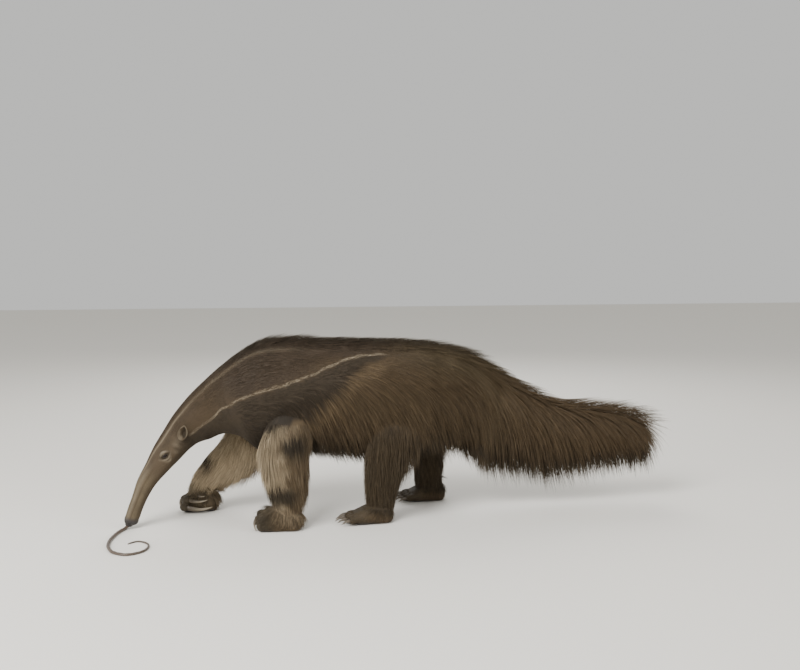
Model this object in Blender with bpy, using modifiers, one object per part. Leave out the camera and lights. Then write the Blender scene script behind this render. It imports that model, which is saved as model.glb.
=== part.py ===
"""A giant anteater, life size: it walks with its head low and its tongue on the ground.

Metres, +Z up, floor at Z = 0. The head points to -X, and the animal's left side is its -Y side.
The flesh is lofted through stations, the long coat is a set of flat tapered locks fused to it.
"""

import math
import random

import bmesh
import bpy
import numpy as np
from mathutils import Matrix, Vector
from mathutils.kdtree import KDTree

GAP = 0.0004  # between pieces of one form
GROWTH = 0.0005  # how far flesh is swollen before it is cut from its neighbour
LOCK_GROWTH = 0.00033  # the same for locks, less, so that no cut runs along an earlier one
LEFT = -1.0  # the sign of Y on the left side
SHORTEST_EDGE = 0.00001

# Each station of a form: the edge above or in front (x, z), the edge below or behind (x, z),
# the sideways place of its middle, its half width, and how square it is (2 is an ellipse).
BODY = {
    "snout end": ((-0.874, 0.017), (-0.853, 0.009), -0.065, 0.0120, 2.2),
    "lips": ((-0.877, 0.026), (-0.842, 0.013), -0.065, 0.0170, 2.3),
    "nose": ((-0.872, 0.046), (-0.831, 0.031), -0.064, 0.0190, 2.3),
    "low snout": ((-0.865, 0.067), (-0.823, 0.053), -0.062, 0.0200, 2.2),
    "mid snout": ((-0.853, 0.099), (-0.809, 0.085), -0.060, 0.0220, 2.2),
    "high snout": ((-0.836, 0.149), (-0.782, 0.130), -0.056, 0.0255, 2.2),
    "face": ((-0.811, 0.199), (-0.744, 0.171), -0.050, 0.0320, 2.2),
    "eyes": ((-0.788, 0.248), (-0.708, 0.206), -0.045, 0.0400, 2.2),
    "ears": ((-0.757, 0.300), (-0.672, 0.240), -0.038, 0.0470, 2.1),
    "nape": ((-0.732, 0.341), (-0.648, 0.254), -0.032, 0.0520, 2.1),
    "high neck": ((-0.700, 0.383), (-0.617, 0.262), -0.026, 0.0600, 2.1),
    "mid neck": ((-0.654, 0.433), (-0.566, 0.276), -0.018, 0.0770, 2.1),
    "low neck": ((-0.601, 0.481), (-0.520, 0.262), -0.010, 0.0960, 2.1),
    "withers": ((-0.545, 0.523), (-0.485, 0.232), -0.004, 0.1180, 2.1),
    "shoulders": ((-0.470, 0.561), (-0.435, 0.215), 0.0, 0.1330, 2.1),
    "chest": ((-0.385, 0.575), (-0.360, 0.222), 0.0, 0.1400, 2.1),
    "ribs": ((-0.275, 0.571), (-0.270, 0.238), 0.0, 0.1450, 2.2),
    "belly": ((-0.148, 0.565), (-0.155, 0.238), 0.0, 0.1500, 2.2),
    "loin": ((-0.020, 0.559), (-0.040, 0.242), 0.0, 0.1480, 2.2),
    "hips": ((0.097, 0.548), (0.065, 0.255), 0.0, 0.1380, 2.2),
    "rump": ((0.190, 0.527), (0.150, 0.285), 0.0, 0.1150, 2.1),
    "tail root": ((0.262, 0.493), (0.220, 0.290), 0.0, 0.0860, 2.0),
    "high tail": ((0.312, 0.459), (0.275, 0.270), 0.0, 0.0640, 2.0),
    "tail 1": ((0.392, 0.413), (0.362, 0.245), 0.0, 0.0520, 2.0),
    "tail 2": ((0.493, 0.364), (0.482, 0.215), 0.0, 0.0460, 2.0),
    "tail 3": ((0.620, 0.338), (0.620, 0.210), 0.0, 0.0430, 2.0),
    "tail 4": ((0.735, 0.320), (0.741, 0.215), 0.0, 0.0380, 2.0),
    "tail 5": ((0.814, 0.295), (0.825, 0.215), 0.0, 0.0280, 2.0),
    "tail end": ((0.855, 0.260), (0.860, 0.230), 0.0, 0.0120, 2.0),
}
HINDLEG_LEFT = {
    "hip": ((-0.085, 0.470), (0.130, 0.400), -0.070, 0.058, 2.1),
    "thigh": ((-0.118, 0.375), (0.105, 0.322), -0.093, 0.068, 2.1),
    "low thigh": ((-0.127, 0.287), (0.046, 0.238), -0.103, 0.064, 2.1),
    "knee": ((-0.131, 0.205), (-0.008, 0.168), -0.111, 0.052, 2.1),
    "shank": ((-0.130, 0.135), (-0.034, 0.115), -0.115, 0.043, 2.1),
    "ankle": ((-0.128, 0.080), (-0.046, 0.071), -0.116, 0.038, 2.1),
    "instep": ((-0.126, 0.045), (-0.048, 0.035), -0.117, 0.036, 2.1),
}
HINDLEG_RIGHT = {
    "hip": ((-0.030, 0.470), (0.155, 0.400), 0.070, 0.058, 2.1),
    "thigh": ((-0.014, 0.375), (0.162, 0.330), 0.093, 0.068, 2.1),
    "low thigh": ((0.022, 0.290), (0.172, 0.252), 0.105, 0.064, 2.1),
    "knee": ((0.050, 0.205), (0.164, 0.182), 0.112, 0.051, 2.1),
    "shank": ((0.069, 0.135), (0.158, 0.119), 0.116, 0.042, 2.1),
    "ankle": ((0.075, 0.080), (0.158, 0.070), 0.117, 0.038, 2.1),
    "instep": ((0.078, 0.045), (0.156, 0.035), 0.117, 0.036, 2.1),
}
FORELEG_LEFT = {
    "shoulder": ((-0.430, 0.430), (-0.270, 0.400), -0.075, 0.060, 2.1),
    "upper arm": ((-0.455, 0.330), (-0.285, 0.320), -0.105, 0.068, 2.1),
    "elbow": ((-0.466, 0.260), (-0.307, 0.245), -0.125, 0.066, 2.1),
    "forearm": ((-0.458, 0.190), (-0.315, 0.180), -0.138, 0.060, 2.1),
    "low forearm": ((-0.440, 0.130), (-0.322, 0.122), -0.146, 0.050, 2.1),
    "wrist": ((-0.426, 0.085), (-0.334, 0.080), -0.150, 0.042, 2.1),
    "hand": ((-0.424, 0.050), (-0.342, 0.045), -0.151, 0.038, 2.1),
}
FORELEG_RIGHT = {
    "shoulder": ((-0.500, 0.380), (-0.370, 0.300), 0.075, 0.060, 2.1),
    "upper arm": ((-0.545, 0.300), (-0.420, 0.190), 0.095, 0.064, 2.1),
    "elbow": ((-0.585, 0.236), (-0.480, 0.130), 0.104, 0.062, 2.1),
    "forearm": ((-0.628, 0.182), (-0.548, 0.098), 0.108, 0.056, 2.1),
    "low forearm": ((-0.660, 0.135), (-0.592, 0.082), 0.110, 0.048, 2.1),
    "wrist": ((-0.678, 0.095), (-0.610, 0.068), 0.110, 0.041, 2.1),
    "hand": ((-0.684, 0.050), (-0.616, 0.040), 0.110, 0.038, 2.1),
}
# The stations where one node ends and the next begins.
NECK_START, TORSO_START, TAIL_START = "nape", "low neck", "tail root"
PAW_START_FORE, PAW_START_HIND = "wrist", "ankle"

COATS = {  # colour, roughness
    "face": ((0.20, 0.18, 0.15), 0.75),
    "neck": ((0.13, 0.10, 0.08), 0.8),
    "dark coat": ((0.070, 0.052, 0.038), 0.85),
    "pale coat": ((0.42, 0.36, 0.27), 0.85),
    "paw": ((0.10, 0.085, 0.065), 0.75),
    "claw": ((0.30, 0.27, 0.22), 0.4),
    "eye": ((0.015, 0.010, 0.008), 0.1),
    "tongue": ((0.28, 0.22, 0.19), 0.45),
}


class Loft:
    """A form carried smoothly through its stations; t is the way along its middle line, in metres."""

    def __init__(self, stations):
        self.names = list(stations)
        self.rows = np.array([[*up, *down, *rest] for up, down, *rest in stations.values()])
        middle = (self.rows[:, 0:2] + self.rows[:, 2:4]) / 2
        steps = np.hypot(*np.diff(middle, axis=0).T)
        self.at = np.concatenate([[0.0], np.cumsum(steps)])
        slope = np.diff(self.rows, axis=0) / steps[:, None]
        share = (steps[:-1] / (steps[:-1] + steps[1:]))[:, None]
        inner = slope[:-1] * (1 - share) + slope[1:] * share
        self.slopes = np.vstack([slope[:1], inner, slope[-1:]])

    def t(self, name):
        """The way along to the named station."""
        return self.at[self.names.index(name)]

    def row(self, t):
        """The station at t, by cubic Hermite interpolation between its neighbours."""
        i = int(np.clip(np.searchsorted(self.at, t) - 1, 0, len(self.at) - 2))
        span = self.at[i + 1] - self.at[i]
        u = (t - self.at[i]) / span
        return (
            (1 + 2 * u) * (1 - u) ** 2 * self.rows[i]
            + u * (1 - u) ** 2 * span * self.slopes[i]
            + u * u * (3 - 2 * u) * self.rows[i + 1]
            + u * u * (u - 1) * span * self.slopes[i + 1]
        )

    def ring(self, t, sides, relief=None):
        """The outline at t: angle 0 is its upper or front edge, and a quarter turn is its left side."""
        x_up, z_up, x_down, z_down, y, width, power = self.row(t)
        angle = np.linspace(0, 2 * math.pi, sides, endpoint=False)
        c, s = np.cos(angle), np.sin(angle)
        reach = (abs(c) ** power + abs(s) ** power) ** (-1 / power)
        if relief:
            reach = reach * (1 + relief(t, angle))
        c, s = c * reach, s * reach
        half = np.array([x_up - x_down, z_up - z_down]) / 2
        middle = np.array([x_up + x_down, z_up + z_down]) / 2
        return np.stack([middle[0] + half[0] * c, y + LEFT * width * s, middle[1] + half[1] * c], 1)

    def surface(self, t, angle):
        """The point and the outward normal at t and angle."""
        def at(where, turn):
            x_up, z_up, x_down, z_down, y, width, power = self.row(where)
            c, s = math.cos(turn), math.sin(turn)
            reach = (abs(c) ** power + abs(s) ** power) ** (-1 / power)
            middle = Vector(((x_up + x_down) / 2, y, (z_up + z_down) / 2))
            half = Vector(((x_up - x_down) / 2, 0, (z_up - z_down) / 2))
            return middle + half * c * reach + Vector((0, LEFT * width * s * reach, 0)), middle

        small = 0.001
        point, middle = at(t, angle)
        along = at(t + small, angle)[0] - at(t - small, angle)[0]
        around = at(t, angle + small)[0] - at(t, angle - small)[0]
        normal = along.cross(around).normalized()
        return point, normal if normal.dot(point - middle) > 0 else -normal


def finish_mesh(name, bm, coat):
    """A named object of the part's collection, from a bmesh whose faces are turned outwards."""
    bmesh.ops.recalc_face_normals(bm, faces=bm.faces)
    bmesh.ops.triangulate(bm, faces=bm.faces)
    mesh = bpy.data.meshes.new(name)
    bm.to_mesh(mesh)
    bm.free()
    mesh.shade_smooth()
    made = bpy.data.objects.new(name, mesh)
    PART.objects.link(made)
    made.data.materials.append(material(coat))
    return made


def material(coat):
    """One Principled BSDF for each kind of surface."""
    found = bpy.data.materials.get(coat)
    if found:
        return found
    colour, roughness = COATS[coat]
    made = bpy.data.materials.new(coat)
    made.use_nodes = True
    shader = made.node_tree.nodes["Principled BSDF"]
    shader.inputs["Base Color"].default_value = (*colour, 1)
    shader.inputs["Roughness"].default_value = roughness
    return made


def skin_rings(name, rings, coat):
    """A closed body through rings of as many points each, with flat ends."""
    bm = bmesh.new()
    loops = [[bm.verts.new(p) for p in ring] for ring in rings]
    count = len(loops[0])
    for near, far in zip(loops, loops[1:]):
        for i in range(count):
            j = (i + 1) % count
            bm.faces.new((near[i], near[j], far[j], far[i]))
    bm.faces.new(loops[0])
    bm.faces.new(loops[-1])
    return finish_mesh(name, bm, coat)


def loft_body(name, loft, start, end, rings, sides, coat, relief=None, floor=None):
    """The stretch of a loft from t = start to t = end. A floor flattens what would lie below it."""
    made = [loft.ring(t, sides, relief) for t in np.linspace(start, end, rings)]
    if floor is not None:
        for ring in made:
            ring[:, 2] = np.maximum(ring[:, 2], floor)
    return skin_rings(name, made, coat)


def apply_modifiers(target):
    """The object's evaluated mesh becomes its mesh, with doubles merged."""
    graph = bpy.context.evaluated_depsgraph_get()
    mesh = bpy.data.meshes.new_from_object(target.evaluated_get(graph))
    target.modifiers.clear()
    old, target.data = target.data, mesh
    bpy.data.meshes.remove(old)
    target.data.shade_smooth()


def part_shared(bm):
    """Gives one of two surfaces that share a diagonal a vertex of its own on it."""
    for edge in [e for e in bm.edges if len(e.link_faces) == 4]:
        one, *others = edge.link_faces
        two = max(others, key=lambda face: face.normal.dot(one.normal))
        middle = bm.verts.new((edge.verts[0].co + edge.verts[1].co) / 2)
        for face in (one, two):
            corners = list(face.verts)
            for leave in edge.verts:
                bm.faces.new([middle if v is leave else v for v in corners])
            bm.faces.remove(face)


def collapse_short(bm):
    """Merges the ends of each tiny edge, where that leaves the surface closed."""
    for _ in range(3):
        for edge in [e for e in bm.edges if e.calc_length() < SHORTEST_EDGE]:
            if not edge.is_valid:
                continue
            one, two = edge.verts
            near_one = {e.other_vert(one) for e in one.link_edges}
            near_two = {e.other_vert(two) for e in two.link_edges}
            if len(near_one & near_two) == 2:
                bmesh.ops.weld_verts(bm, targetmap={one: two})


def part_touching(bm):
    """Draws vertices that meet at one point, but aren't joined there, a little way inwards."""
    bm.normal_update()
    tree = KDTree(len(bm.verts))
    for i, vert in enumerate(bm.verts):
        tree.insert(vert.co, i)
    tree.balance()
    touching = [v for v in bm.verts if len(tree.find_range(v.co, SHORTEST_EDGE / 2)) > 1]
    for vert in touching:
        vert.co -= vert.normal * SHORTEST_EDGE


def keep_largest(target):
    """Only the largest closed surface stays; scraps and sealed hollows go."""
    bm = bmesh.new()
    bm.from_mesh(target.data)
    bmesh.ops.triangulate(bm, faces=bm.faces)
    part_shared(bm)
    unseen = set(bm.faces)
    shells = []
    while unseen:
        shell = set()
        waiting = [unseen.pop()]
        while waiting:
            face = waiting.pop()
            shell.add(face)
            for other in [other for edge in face.edges for other in edge.link_faces]:
                if other in unseen:
                    unseen.discard(other)
                    waiting.append(other)
        volume = sum(f.verts[0].co.dot(f.verts[1].co.cross(f.verts[2].co)) for f in shell)
        shells.append((volume, shell))
    largest = max(shells, key=lambda entry: entry[0])[1]
    bmesh.ops.delete(bm, geom=[f for f in bm.faces if f not in largest], context="FACES")
    collapse_short(bm)
    part_touching(bm)
    bm.to_mesh(target.data)
    bm.free()
    target.data.shade_smooth()


def boolean(target, pieces, operation):
    """Joins the pieces to the target or cuts them from it, then removes them."""
    if not pieces:
        return target
    group = bpy.data.collections.new("pieces")
    bpy.context.scene.collection.children.link(group)
    for piece in pieces:
        group.objects.link(piece)
        PART.objects.unlink(piece)
    modifier = target.modifiers.new("join", "BOOLEAN")
    modifier.operation = operation
    modifier.solver = "MANIFOLD"
    modifier.operand_type = "COLLECTION"
    modifier.collection = group
    apply_modifiers(target)
    for piece in pieces:
        bpy.data.objects.remove(piece)
    bpy.data.collections.remove(group)
    keep_largest(target)
    return target


def grown(target, by):
    """A copy of an object, swollen a little along its normals."""
    copy = target.copy()
    copy.data = target.data.copy()
    PART.objects.link(copy)
    bm = bmesh.new()
    bm.from_mesh(copy.data)
    bm.normal_update()
    offsets = [v.normal * by * min(v.calc_shell_factor(), 2.0) for v in bm.verts]
    for vert, offset in zip(bm.verts, offsets):
        vert.co += offset
    bm.to_mesh(copy.data)
    bm.free()
    return copy


def cut_clear(target, *neighbours, by=GROWTH):
    """Takes from the target what a neighbour needs, so that the two meet face to face."""
    return boolean(target, [grown(n, by) for n in neighbours], "DIFFERENCE")


def tube(name, points, radii, sides, coat, flat=1.0):
    """A round form along points, closed with flat ends; flat squeezes it sideways."""
    rings = []
    points = [Vector(p) for p in points]
    for i, point in enumerate(points):
        ahead = (points[min(i + 1, len(points) - 1)] - points[max(i - 1, 0)]).normalized()
        side = ahead.cross(Vector((0, 0, 1)))
        side = side.normalized() if side.length > 0.05 else Vector((0, 1, 0))
        up = side.cross(ahead)
        turns = [2 * math.pi * (k + 0.5) / sides for k in range(sides)]
        rings.append(
            [point + (side * math.cos(a) * flat + up * math.sin(a)) * radii[i] for a in turns]
        )
    return skin_rings(name, rings, coat)


def curved(points, count):
    """Points along a smooth line through a few given ones."""
    rows = np.array(points, float)
    steps = np.linalg.norm(np.diff(rows, axis=0), axis=1)
    at = np.concatenate([[0.0], np.cumsum(steps)])
    slope = np.diff(rows, axis=0) / steps[:, None]
    share = (steps[:-1] / (steps[:-1] + steps[1:]))[:, None]
    slopes = np.vstack([slope[:1], slope[:-1] * (1 - share) + slope[1:] * share, slope[-1:]])
    made = []
    for t in np.linspace(0, at[-1], count):
        i = int(np.clip(np.searchsorted(at, t) - 1, 0, len(at) - 2))
        span = at[i + 1] - at[i]
        u = (t - at[i]) / span
        made.append(
            (1 + 2 * u) * (1 - u) ** 2 * rows[i]
            + u * (1 - u) ** 2 * span * slopes[i]
            + u * u * (3 - 2 * u) * rows[i + 1]
            + u * u * (u - 1) * span * slopes[i + 1]
        )
    return made


def ellipsoid(name, centre, sizes, turn, coat, rings=6, segments=10):
    """A ball of the given half sizes, turned and set at its centre."""
    bm = bmesh.new()
    bmesh.ops.create_uvsphere(bm, u_segments=segments, v_segments=rings, radius=1)
    place = Matrix.Translation(centre) @ turn.to_matrix().to_4x4() @ Matrix.Diagonal((*sizes, 1))
    bmesh.ops.transform(bm, matrix=place, verts=bm.verts)
    return finish_mesh(name, bm, coat)


for leftover in list(bpy.data.objects):
    bpy.data.objects.remove(leftover)
PART = bpy.data.collections.new("giant_anteater")
bpy.context.scene.collection.children.link(PART)
body = Loft(BODY)

# Head
EYE_T, EYE_ANGLE, EYE_RADIUS = body.t("eyes"), math.radians(88), 0.0075
SOCKET_RADIUS = 0.012
TONGUE_RADIUS = 0.0042
HEAD_FORMS = (  # way along, angle from the crown, reach along, reach around, height
    (EYE_T - 0.004, 62, 0.018, 16, 0.05),  # brow
    (EYE_T + 0.030, 105, 0.030, 26, 0.06),  # cheek
    (body.t("high snout"), 0, 0.070, 30, 0.03),  # bridge of the snout
    (body.t("lips"), 180, 0.010, 40, 0.06),  # lower lip
)


def head_relief(t, angle):
    """How much each form of the head raises the loft, as a share of its radius."""
    turn = np.degrees(np.abs((angle + math.pi) % (2 * math.pi) - math.pi))
    raised = np.zeros_like(angle)
    for along, around, reach, spread, height in HEAD_FORMS:
        raised += height * np.exp(-(((t - along) / reach) ** 2) - ((turn - around) / spread) ** 2)
    return raised


def axis_at(loft, t):
    """The middle of a loft at t, the way it runs there, and its upward direction."""
    def middle(where):
        x_up, z_up, x_down, z_down, y = loft.row(where)[:5]
        return Vector(((x_up + x_down) / 2, y, (z_up + z_down) / 2))

    x_up, z_up, x_down, z_down = loft.row(t)[:4]
    return middle(t), (middle(t + 0.002) - middle(t - 0.002)).normalized(), Vector(
        (x_up - x_down, 0, z_up - z_down)
    ).normalized()


def facing(direction, up):
    """The rotation that turns +X to direction and +Z near to up."""
    x = direction.normalized()
    y = up.cross(x).normalized()
    return Matrix((x, y, x.cross(y))).transposed().to_quaternion()


def make_head():
    """The head with its eye sockets, lids, nostrils and mouth."""
    end = body.t(NECK_START) - GAP / 2
    head = loft_body("head", body, 0, end, 22, 20, "face", head_relief)
    tip, inward, up = axis_at(body, 0.0)
    lids, cuts = [], []
    for side in (1, -1):
        place, normal = body.surface(EYE_T, side * EYE_ANGLE)
        centre = place - normal * (EYE_RADIUS * 0.45)
        _, back, _ = axis_at(body, EYE_T)
        turn = facing(normal, back)
        lids.append(ellipsoid("lids", centre, (0.0098, 0.0105, 0.0135), turn, "face", 5, 9))
        cuts.append(ellipsoid("socket", centre, (EYE_RADIUS + GAP,) * 3, turn, "face", 6, 10))
        slit = centre + normal * EYE_RADIUS * 1.15
        cuts.append(ellipsoid("lid slit", slit, (0.0055, 0.0042, 0.0082), turn, "face", 5, 8))
        nostril, out = body.surface(body.t("lips") - 0.002, side * math.radians(38))
        turn = facing(out, inward)
        cuts.append(ellipsoid("nostril", nostril, (0.0045, 0.0022, 0.0036), turn, "face", 4, 8))
    turn = facing(inward, up)
    mouth = tip - up * 0.0015
    cuts.append(ellipsoid("mouth", mouth, (0.024, 0.0235, 0.0022), turn, "face", 4, 12))
    boolean(head, lids, "UNION")
    cuts.append(tongue_form("tongue way", TONGUE_RADIUS + GAP * 1.3, 0, TONGUE_FREE_POINTS))
    return boolean(head, cuts, "DIFFERENCE")


def make_eyes():
    """The two eyeballs, set deep between their lids."""
    for name, side in (("eye_left", 1), ("eye_right", -1)):
        place, normal = body.surface(EYE_T, side * EYE_ANGLE)
        centre = place - normal * (EYE_RADIUS * 0.45)
        _, back, _ = axis_at(body, EYE_T)
        ellipsoid(name, centre, (EYE_RADIUS,) * 3, facing(normal, back), "eye", 6, 10)


# Tongue: it leaves the mouth, drops to the floor and lies in one loose curl.
TONGUE_DROP = (
    (-0.8500, -0.0650, 0.0420),
    (-0.8640, -0.0660, 0.0110),
    (-0.8730, -0.0800, 0.0062),
    (-0.8880, -0.1150, 0.0050),
)
TONGUE_CURL = (
    (-0.8990, -0.1600, TONGUE_RADIUS),
    (-0.9050, -0.2100, TONGUE_RADIUS),
    (-0.9000, -0.2700, TONGUE_RADIUS),
    (-0.8780, -0.3200, TONGUE_RADIUS),
    (-0.8420, -0.3420, TONGUE_RADIUS),
    (-0.8060, -0.3250, TONGUE_RADIUS),
    (-0.7880, -0.2800, TONGUE_RADIUS),
    (-0.7980, -0.2350, TONGUE_RADIUS),
    (-0.8240, -0.2150, TONGUE_RADIUS),
    (-0.8500, -0.2330, TONGUE_RADIUS),
)
TONGUE_POINTS = 44
TONGUE_FREE_POINTS = 10
TONGUE_TIP_RADIUS = 0.0022
TONGUE_SIDES = 6


def tongue_form(name, radius, first, last):
    """The tongue's tube from one of its points to another, thinner towards its tip."""
    line = curved(TONGUE_DROP + TONGUE_CURL, TONGUE_POINTS)[first:last]
    share = [(first + i) / (TONGUE_POINTS - 1) for i in range(len(line))]
    radii = [radius - (radius - TONGUE_TIP_RADIUS) * max(0, s - 0.45) / 0.55 for s in share]
    lowered = [
        (x, y, r if z < radius + 0.0015 else z)
        for (x, y, z), r in zip(line, radii)
    ]
    return tube(name, lowered, radii, TONGUE_SIDES, "tongue")


def make_tongue():
    """The tongue in two lengths: the one that drops, and the curl on the floor."""
    tongue_form("tongue_drop", TONGUE_RADIUS, 0, TONGUE_FREE_POINTS)
    curl = tongue_form("tongue_curl", TONGUE_RADIUS, TONGUE_FREE_POINTS - 1, TONGUE_POINTS)
    cut_clear(curl, bpy.data.objects["tongue_drop"])


# Ears: small round cups that stand out from behind the cheeks.
EAR_HEIGHT, EAR_WIDTH, EAR_DEPTH, EAR_THICKNESS = 0.044, 0.030, 0.013, 0.003
EAR_ANGLE = math.radians(94)
EAR_ROWS, EAR_COLUMNS = 6, 7


def make_ear(name, side, head):
    """A cup from an open scooped sheet with a wall, its root cut to the head."""
    root, normal = body.surface((body.t("ears") + body.t("nape")) / 2, side * EAR_ANGLE)
    up = (Vector((0.10, 0, 1.0)) + normal * 0.65).normalized()
    ahead = Vector((-1.0, 0, 0.15))
    across = (ahead - up * up.dot(ahead)).normalized()
    front = up.cross(across) if side > 0 else across.cross(up)
    front = front if front.dot(normal) > 0 else -front
    bm = bmesh.new()
    grid = []
    for i in range(EAR_ROWS):
        v = i / (EAR_ROWS - 1)
        width = EAR_WIDTH * (0.55 + 0.45 * math.sin(math.pi * min(v * 0.75 + 0.12, 1)))
        width *= math.sqrt(max(1 - (max(v - 0.45, 0) / 0.56) ** 2, 0.05))
        line = []
        for j in range(EAR_COLUMNS):
            u = 2 * j / (EAR_COLUMNS - 1) - 1
            scoop = EAR_DEPTH * (u * u - 0.55) * (1.1 - 0.5 * v)
            place = root + up * (EAR_HEIGHT * v - 0.008) + across * (width * u / 2) + front * scoop
            line.append(bm.verts.new(place))
        grid.append(line)
    for i in range(EAR_ROWS - 1):
        for j in range(EAR_COLUMNS - 1):
            bm.faces.new((grid[i][j], grid[i][j + 1], grid[i + 1][j + 1], grid[i + 1][j]))
    ear = finish_mesh(name, bm, "face")
    wall = ear.modifiers.new("wall", "SOLIDIFY")
    wall.thickness = EAR_THICKNESS
    wall.offset = 0
    apply_modifiers(ear)
    return cut_clear(ear, head)


# Legs and paws
HAND_LENGTH, HAND_WIDTH, HAND_HEIGHT = 0.142, 0.074, 0.076
FOOT_LENGTH, FOOT_WIDTH, FOOT_HEIGHT = 0.125, 0.092, 0.062
TOES = 5


def paw_loft(front, length, y, width, height, profile):
    """A hand or foot as a loft from its back to its front: rows of way, height and width shares."""
    rows = {}
    for way, low, high, wide in profile:
        x = front + length * (1 - way)
        rows[f"{way:.2f}"] = ((x, high * height), (x, low * height - 0.006), y, wide * width / 2, 2.3)
    return Loft(rows)


FOOT_PROFILE = (  # way from the heel, underside, top, width
    (0.00, 0.35, 0.60, 0.30),
    (0.08, 0.05, 0.90, 0.62),
    (0.30, 0.00, 1.05, 0.84),
    (0.55, 0.00, 0.95, 0.94),
    (0.80, 0.00, 0.74, 1.00),
    (1.00, 0.10, 0.55, 0.90),
)
HAND_PROFILE = (
    (0.00, 0.35, 0.60, 0.35),
    (0.10, 0.04, 0.86, 0.78),
    (0.35, 0.00, 1.02, 0.96),
    (0.62, 0.00, 0.98, 1.00),
    (0.82, 0.00, 0.80, 0.94),
    (0.95, 0.08, 0.58, 0.70),
    (1.00, 0.20, 0.44, 0.40),
)


def claw(name, root, aim, length, radius, curl, host):
    """A tapered claw that bends down towards its tip, its root cut to the toe."""
    aim = Vector(aim).normalized()
    steps = 5
    points, radii = [Vector(root) - aim * length * 0.25], [radius]
    bend = Vector(curl)
    for i in range(1, steps):
        share = i / (steps - 1)
        points.append(Vector(root) + aim * length * share + bend * share * share * length)
        radii.append(radius * (1 - 0.86 * share**1.4))
    made = tube(name, points, radii, 5, "claw", flat=0.8)
    return cut_clear(made, host)


def make_foot(name, leg, x_front, y, side):
    """A hind paw on its flat sole: ankle, foot and five toes, each with its claw."""
    ankle = leg.t(PAW_START_HIND) + GAP / 2
    paw = loft_body(name, leg, ankle, leg.at[-1], 3, 14, "paw")
    foot = paw_loft(x_front, FOOT_LENGTH, y, FOOT_WIDTH, FOOT_HEIGHT, FOOT_PROFILE)
    pieces = [loft_body("foot", foot, 0, foot.at[-1], 7, 12, "paw", floor=0.0)]
    toes = []
    for i in range(TOES):
        across = (i - 2) / 2
        reach = 0.024 - 0.010 * across**2
        base = Vector((x_front + 0.020, y + across * FOOT_WIDTH * 0.36, 0.022))
        end = base + Vector((-0.020 - reach, across * 0.010, -0.006))
        pieces.append(tube("toe", [base, (base + end) / 2, end], [0.012, 0.0125, 0.0085], 6, "paw"))
        toes.append(end)
    boolean(paw, pieces, "UNION")
    cut_clear(paw, bpy.data.objects[f"hindleg_{side}"])
    for i, end in enumerate(toes):
        aim = (-1, (i - 2) * 0.08, -0.02)
        length = 0.034 - 0.003 * abs(i - 2)
        claw(f"claw_hind_{side}_{i + 1}", end, aim, length, 0.0055, (0, 0, -0.26), paw)
    return paw


FINGERS = (  # knuckle: back from the front, inward, height; finger radius, claw length and radius
    (0.040, 0.026, 0.058, 0.0105, 0.024, 0.0042),
    (0.014, 0.028, 0.045, 0.0130, 0.058, 0.0065),
    (0.008, 0.027, 0.0205, 0.0150, 0.080, 0.0085),
    (0.008, -0.010, 0.040, 0.0130, 0.036, 0.0055),
)


def make_hand(name, leg, x_front, y, inner, length, side):
    """A fore paw on its outer edge: fingers folded in at its front, the claws along its palm."""
    wrist = leg.t(PAW_START_FORE) + GAP / 2
    paw = loft_body(name, leg, wrist, leg.at[-1], 3, 14, "paw")
    hand = paw_loft(x_front, length, y - inner * 0.004, HAND_WIDTH, HAND_HEIGHT, HAND_PROFILE)
    pieces = [loft_body("hand", hand, 0, hand.at[-1], 8, 12, "paw", floor=0.0)]
    claws = []
    for i, (back, inward, height, radius, claw_length, claw_radius) in enumerate(FINGERS):
        knuckle = Vector((x_front + back, y + inner * inward, height))
        if i < 3:
            start = knuckle + Vector((0.030, -inner * 0.020, 0))
            end = knuckle + Vector((0.014, inner * 0.013, 0))
            aim, curl = (1, inner * 0.25, -0.02), (0, -inner * 0.30, 0)
        else:
            start = knuckle + Vector((0.030, 0, 0.004))
            end = knuckle + Vector((-0.009, inner * 0.003, -0.004))
            aim, curl = (-0.30, inner * 0.50, -0.80), (0.25, 0, 0.10)
        pieces.append(tube("finger", [start, knuckle, end], [radius, radius, radius * 0.8], 7, "paw"))
        claws.append((end, aim, claw_length, claw_radius, curl))
    boolean(paw, pieces, "UNION")
    cut_clear(paw, bpy.data.objects[f"foreleg_{side}"])
    for i, (end, aim, claw_length, claw_radius, curl) in enumerate(claws):
        claw(f"claw_fore_{side}_{i + 1}", end, aim, claw_length, claw_radius, curl, paw)
    return paw


head = make_head()
make_eyes()
make_tongue()
make_ear("ear_left", 1, head)
make_ear("ear_right", -1, head)

# Long coat: rows of locks, each from one station to another of the form it grows on.
# A row gives its first and last station, how many locks, their angle from the crest, their length
# at its start and its end, their width, how far they stand off, how much they lie along the form
# and how much down it, and how far their tips fall.
LOCK_SINK = 0.009
LOCK_THICKNESS = 0.010
LOCK_SHARES = (0.0, 0.22, 0.50, 0.78, 1.0)  # the rings' places on a lock, the last one its tip
LOCK_WIDTHS = (0.62, 0.95, 1.00, 0.62)
LOCK_DEPTHS = (1.00, 1.00, 0.80, 0.50)
TORSO_COAT = (
    ("withers", "tail root", 11, 0, 0.100, 0.140, 0.058, 0.26, 1.0, 0.0, 0.05),  # crest of the back
    ("hips", "tail root", 2, 44, 0.130, 0.140, 0.072, 0.18, 0.9, 0.5, 0.30),  # rump
    ("rump", "tail root", 2, 128, 0.170, 0.180, 0.060, 0.30, 0.15, 1.0, 1.20),  # under the rump
    ("shoulders", "rump", 4, 92, 0.130, 0.160, 0.088, 0.14, 0.5, 1.0, 0.50),  # flank
    ("shoulders", "rump", 7, 126, 0.112, 0.128, 0.064, 0.24, 0.35, 1.0, 0.70),  # fringe
    ("shoulders", "hips", 3, 160, 0.075, 0.085, 0.064, 0.45, 0.5, 0.2, 0.90),  # belly
)
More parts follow.
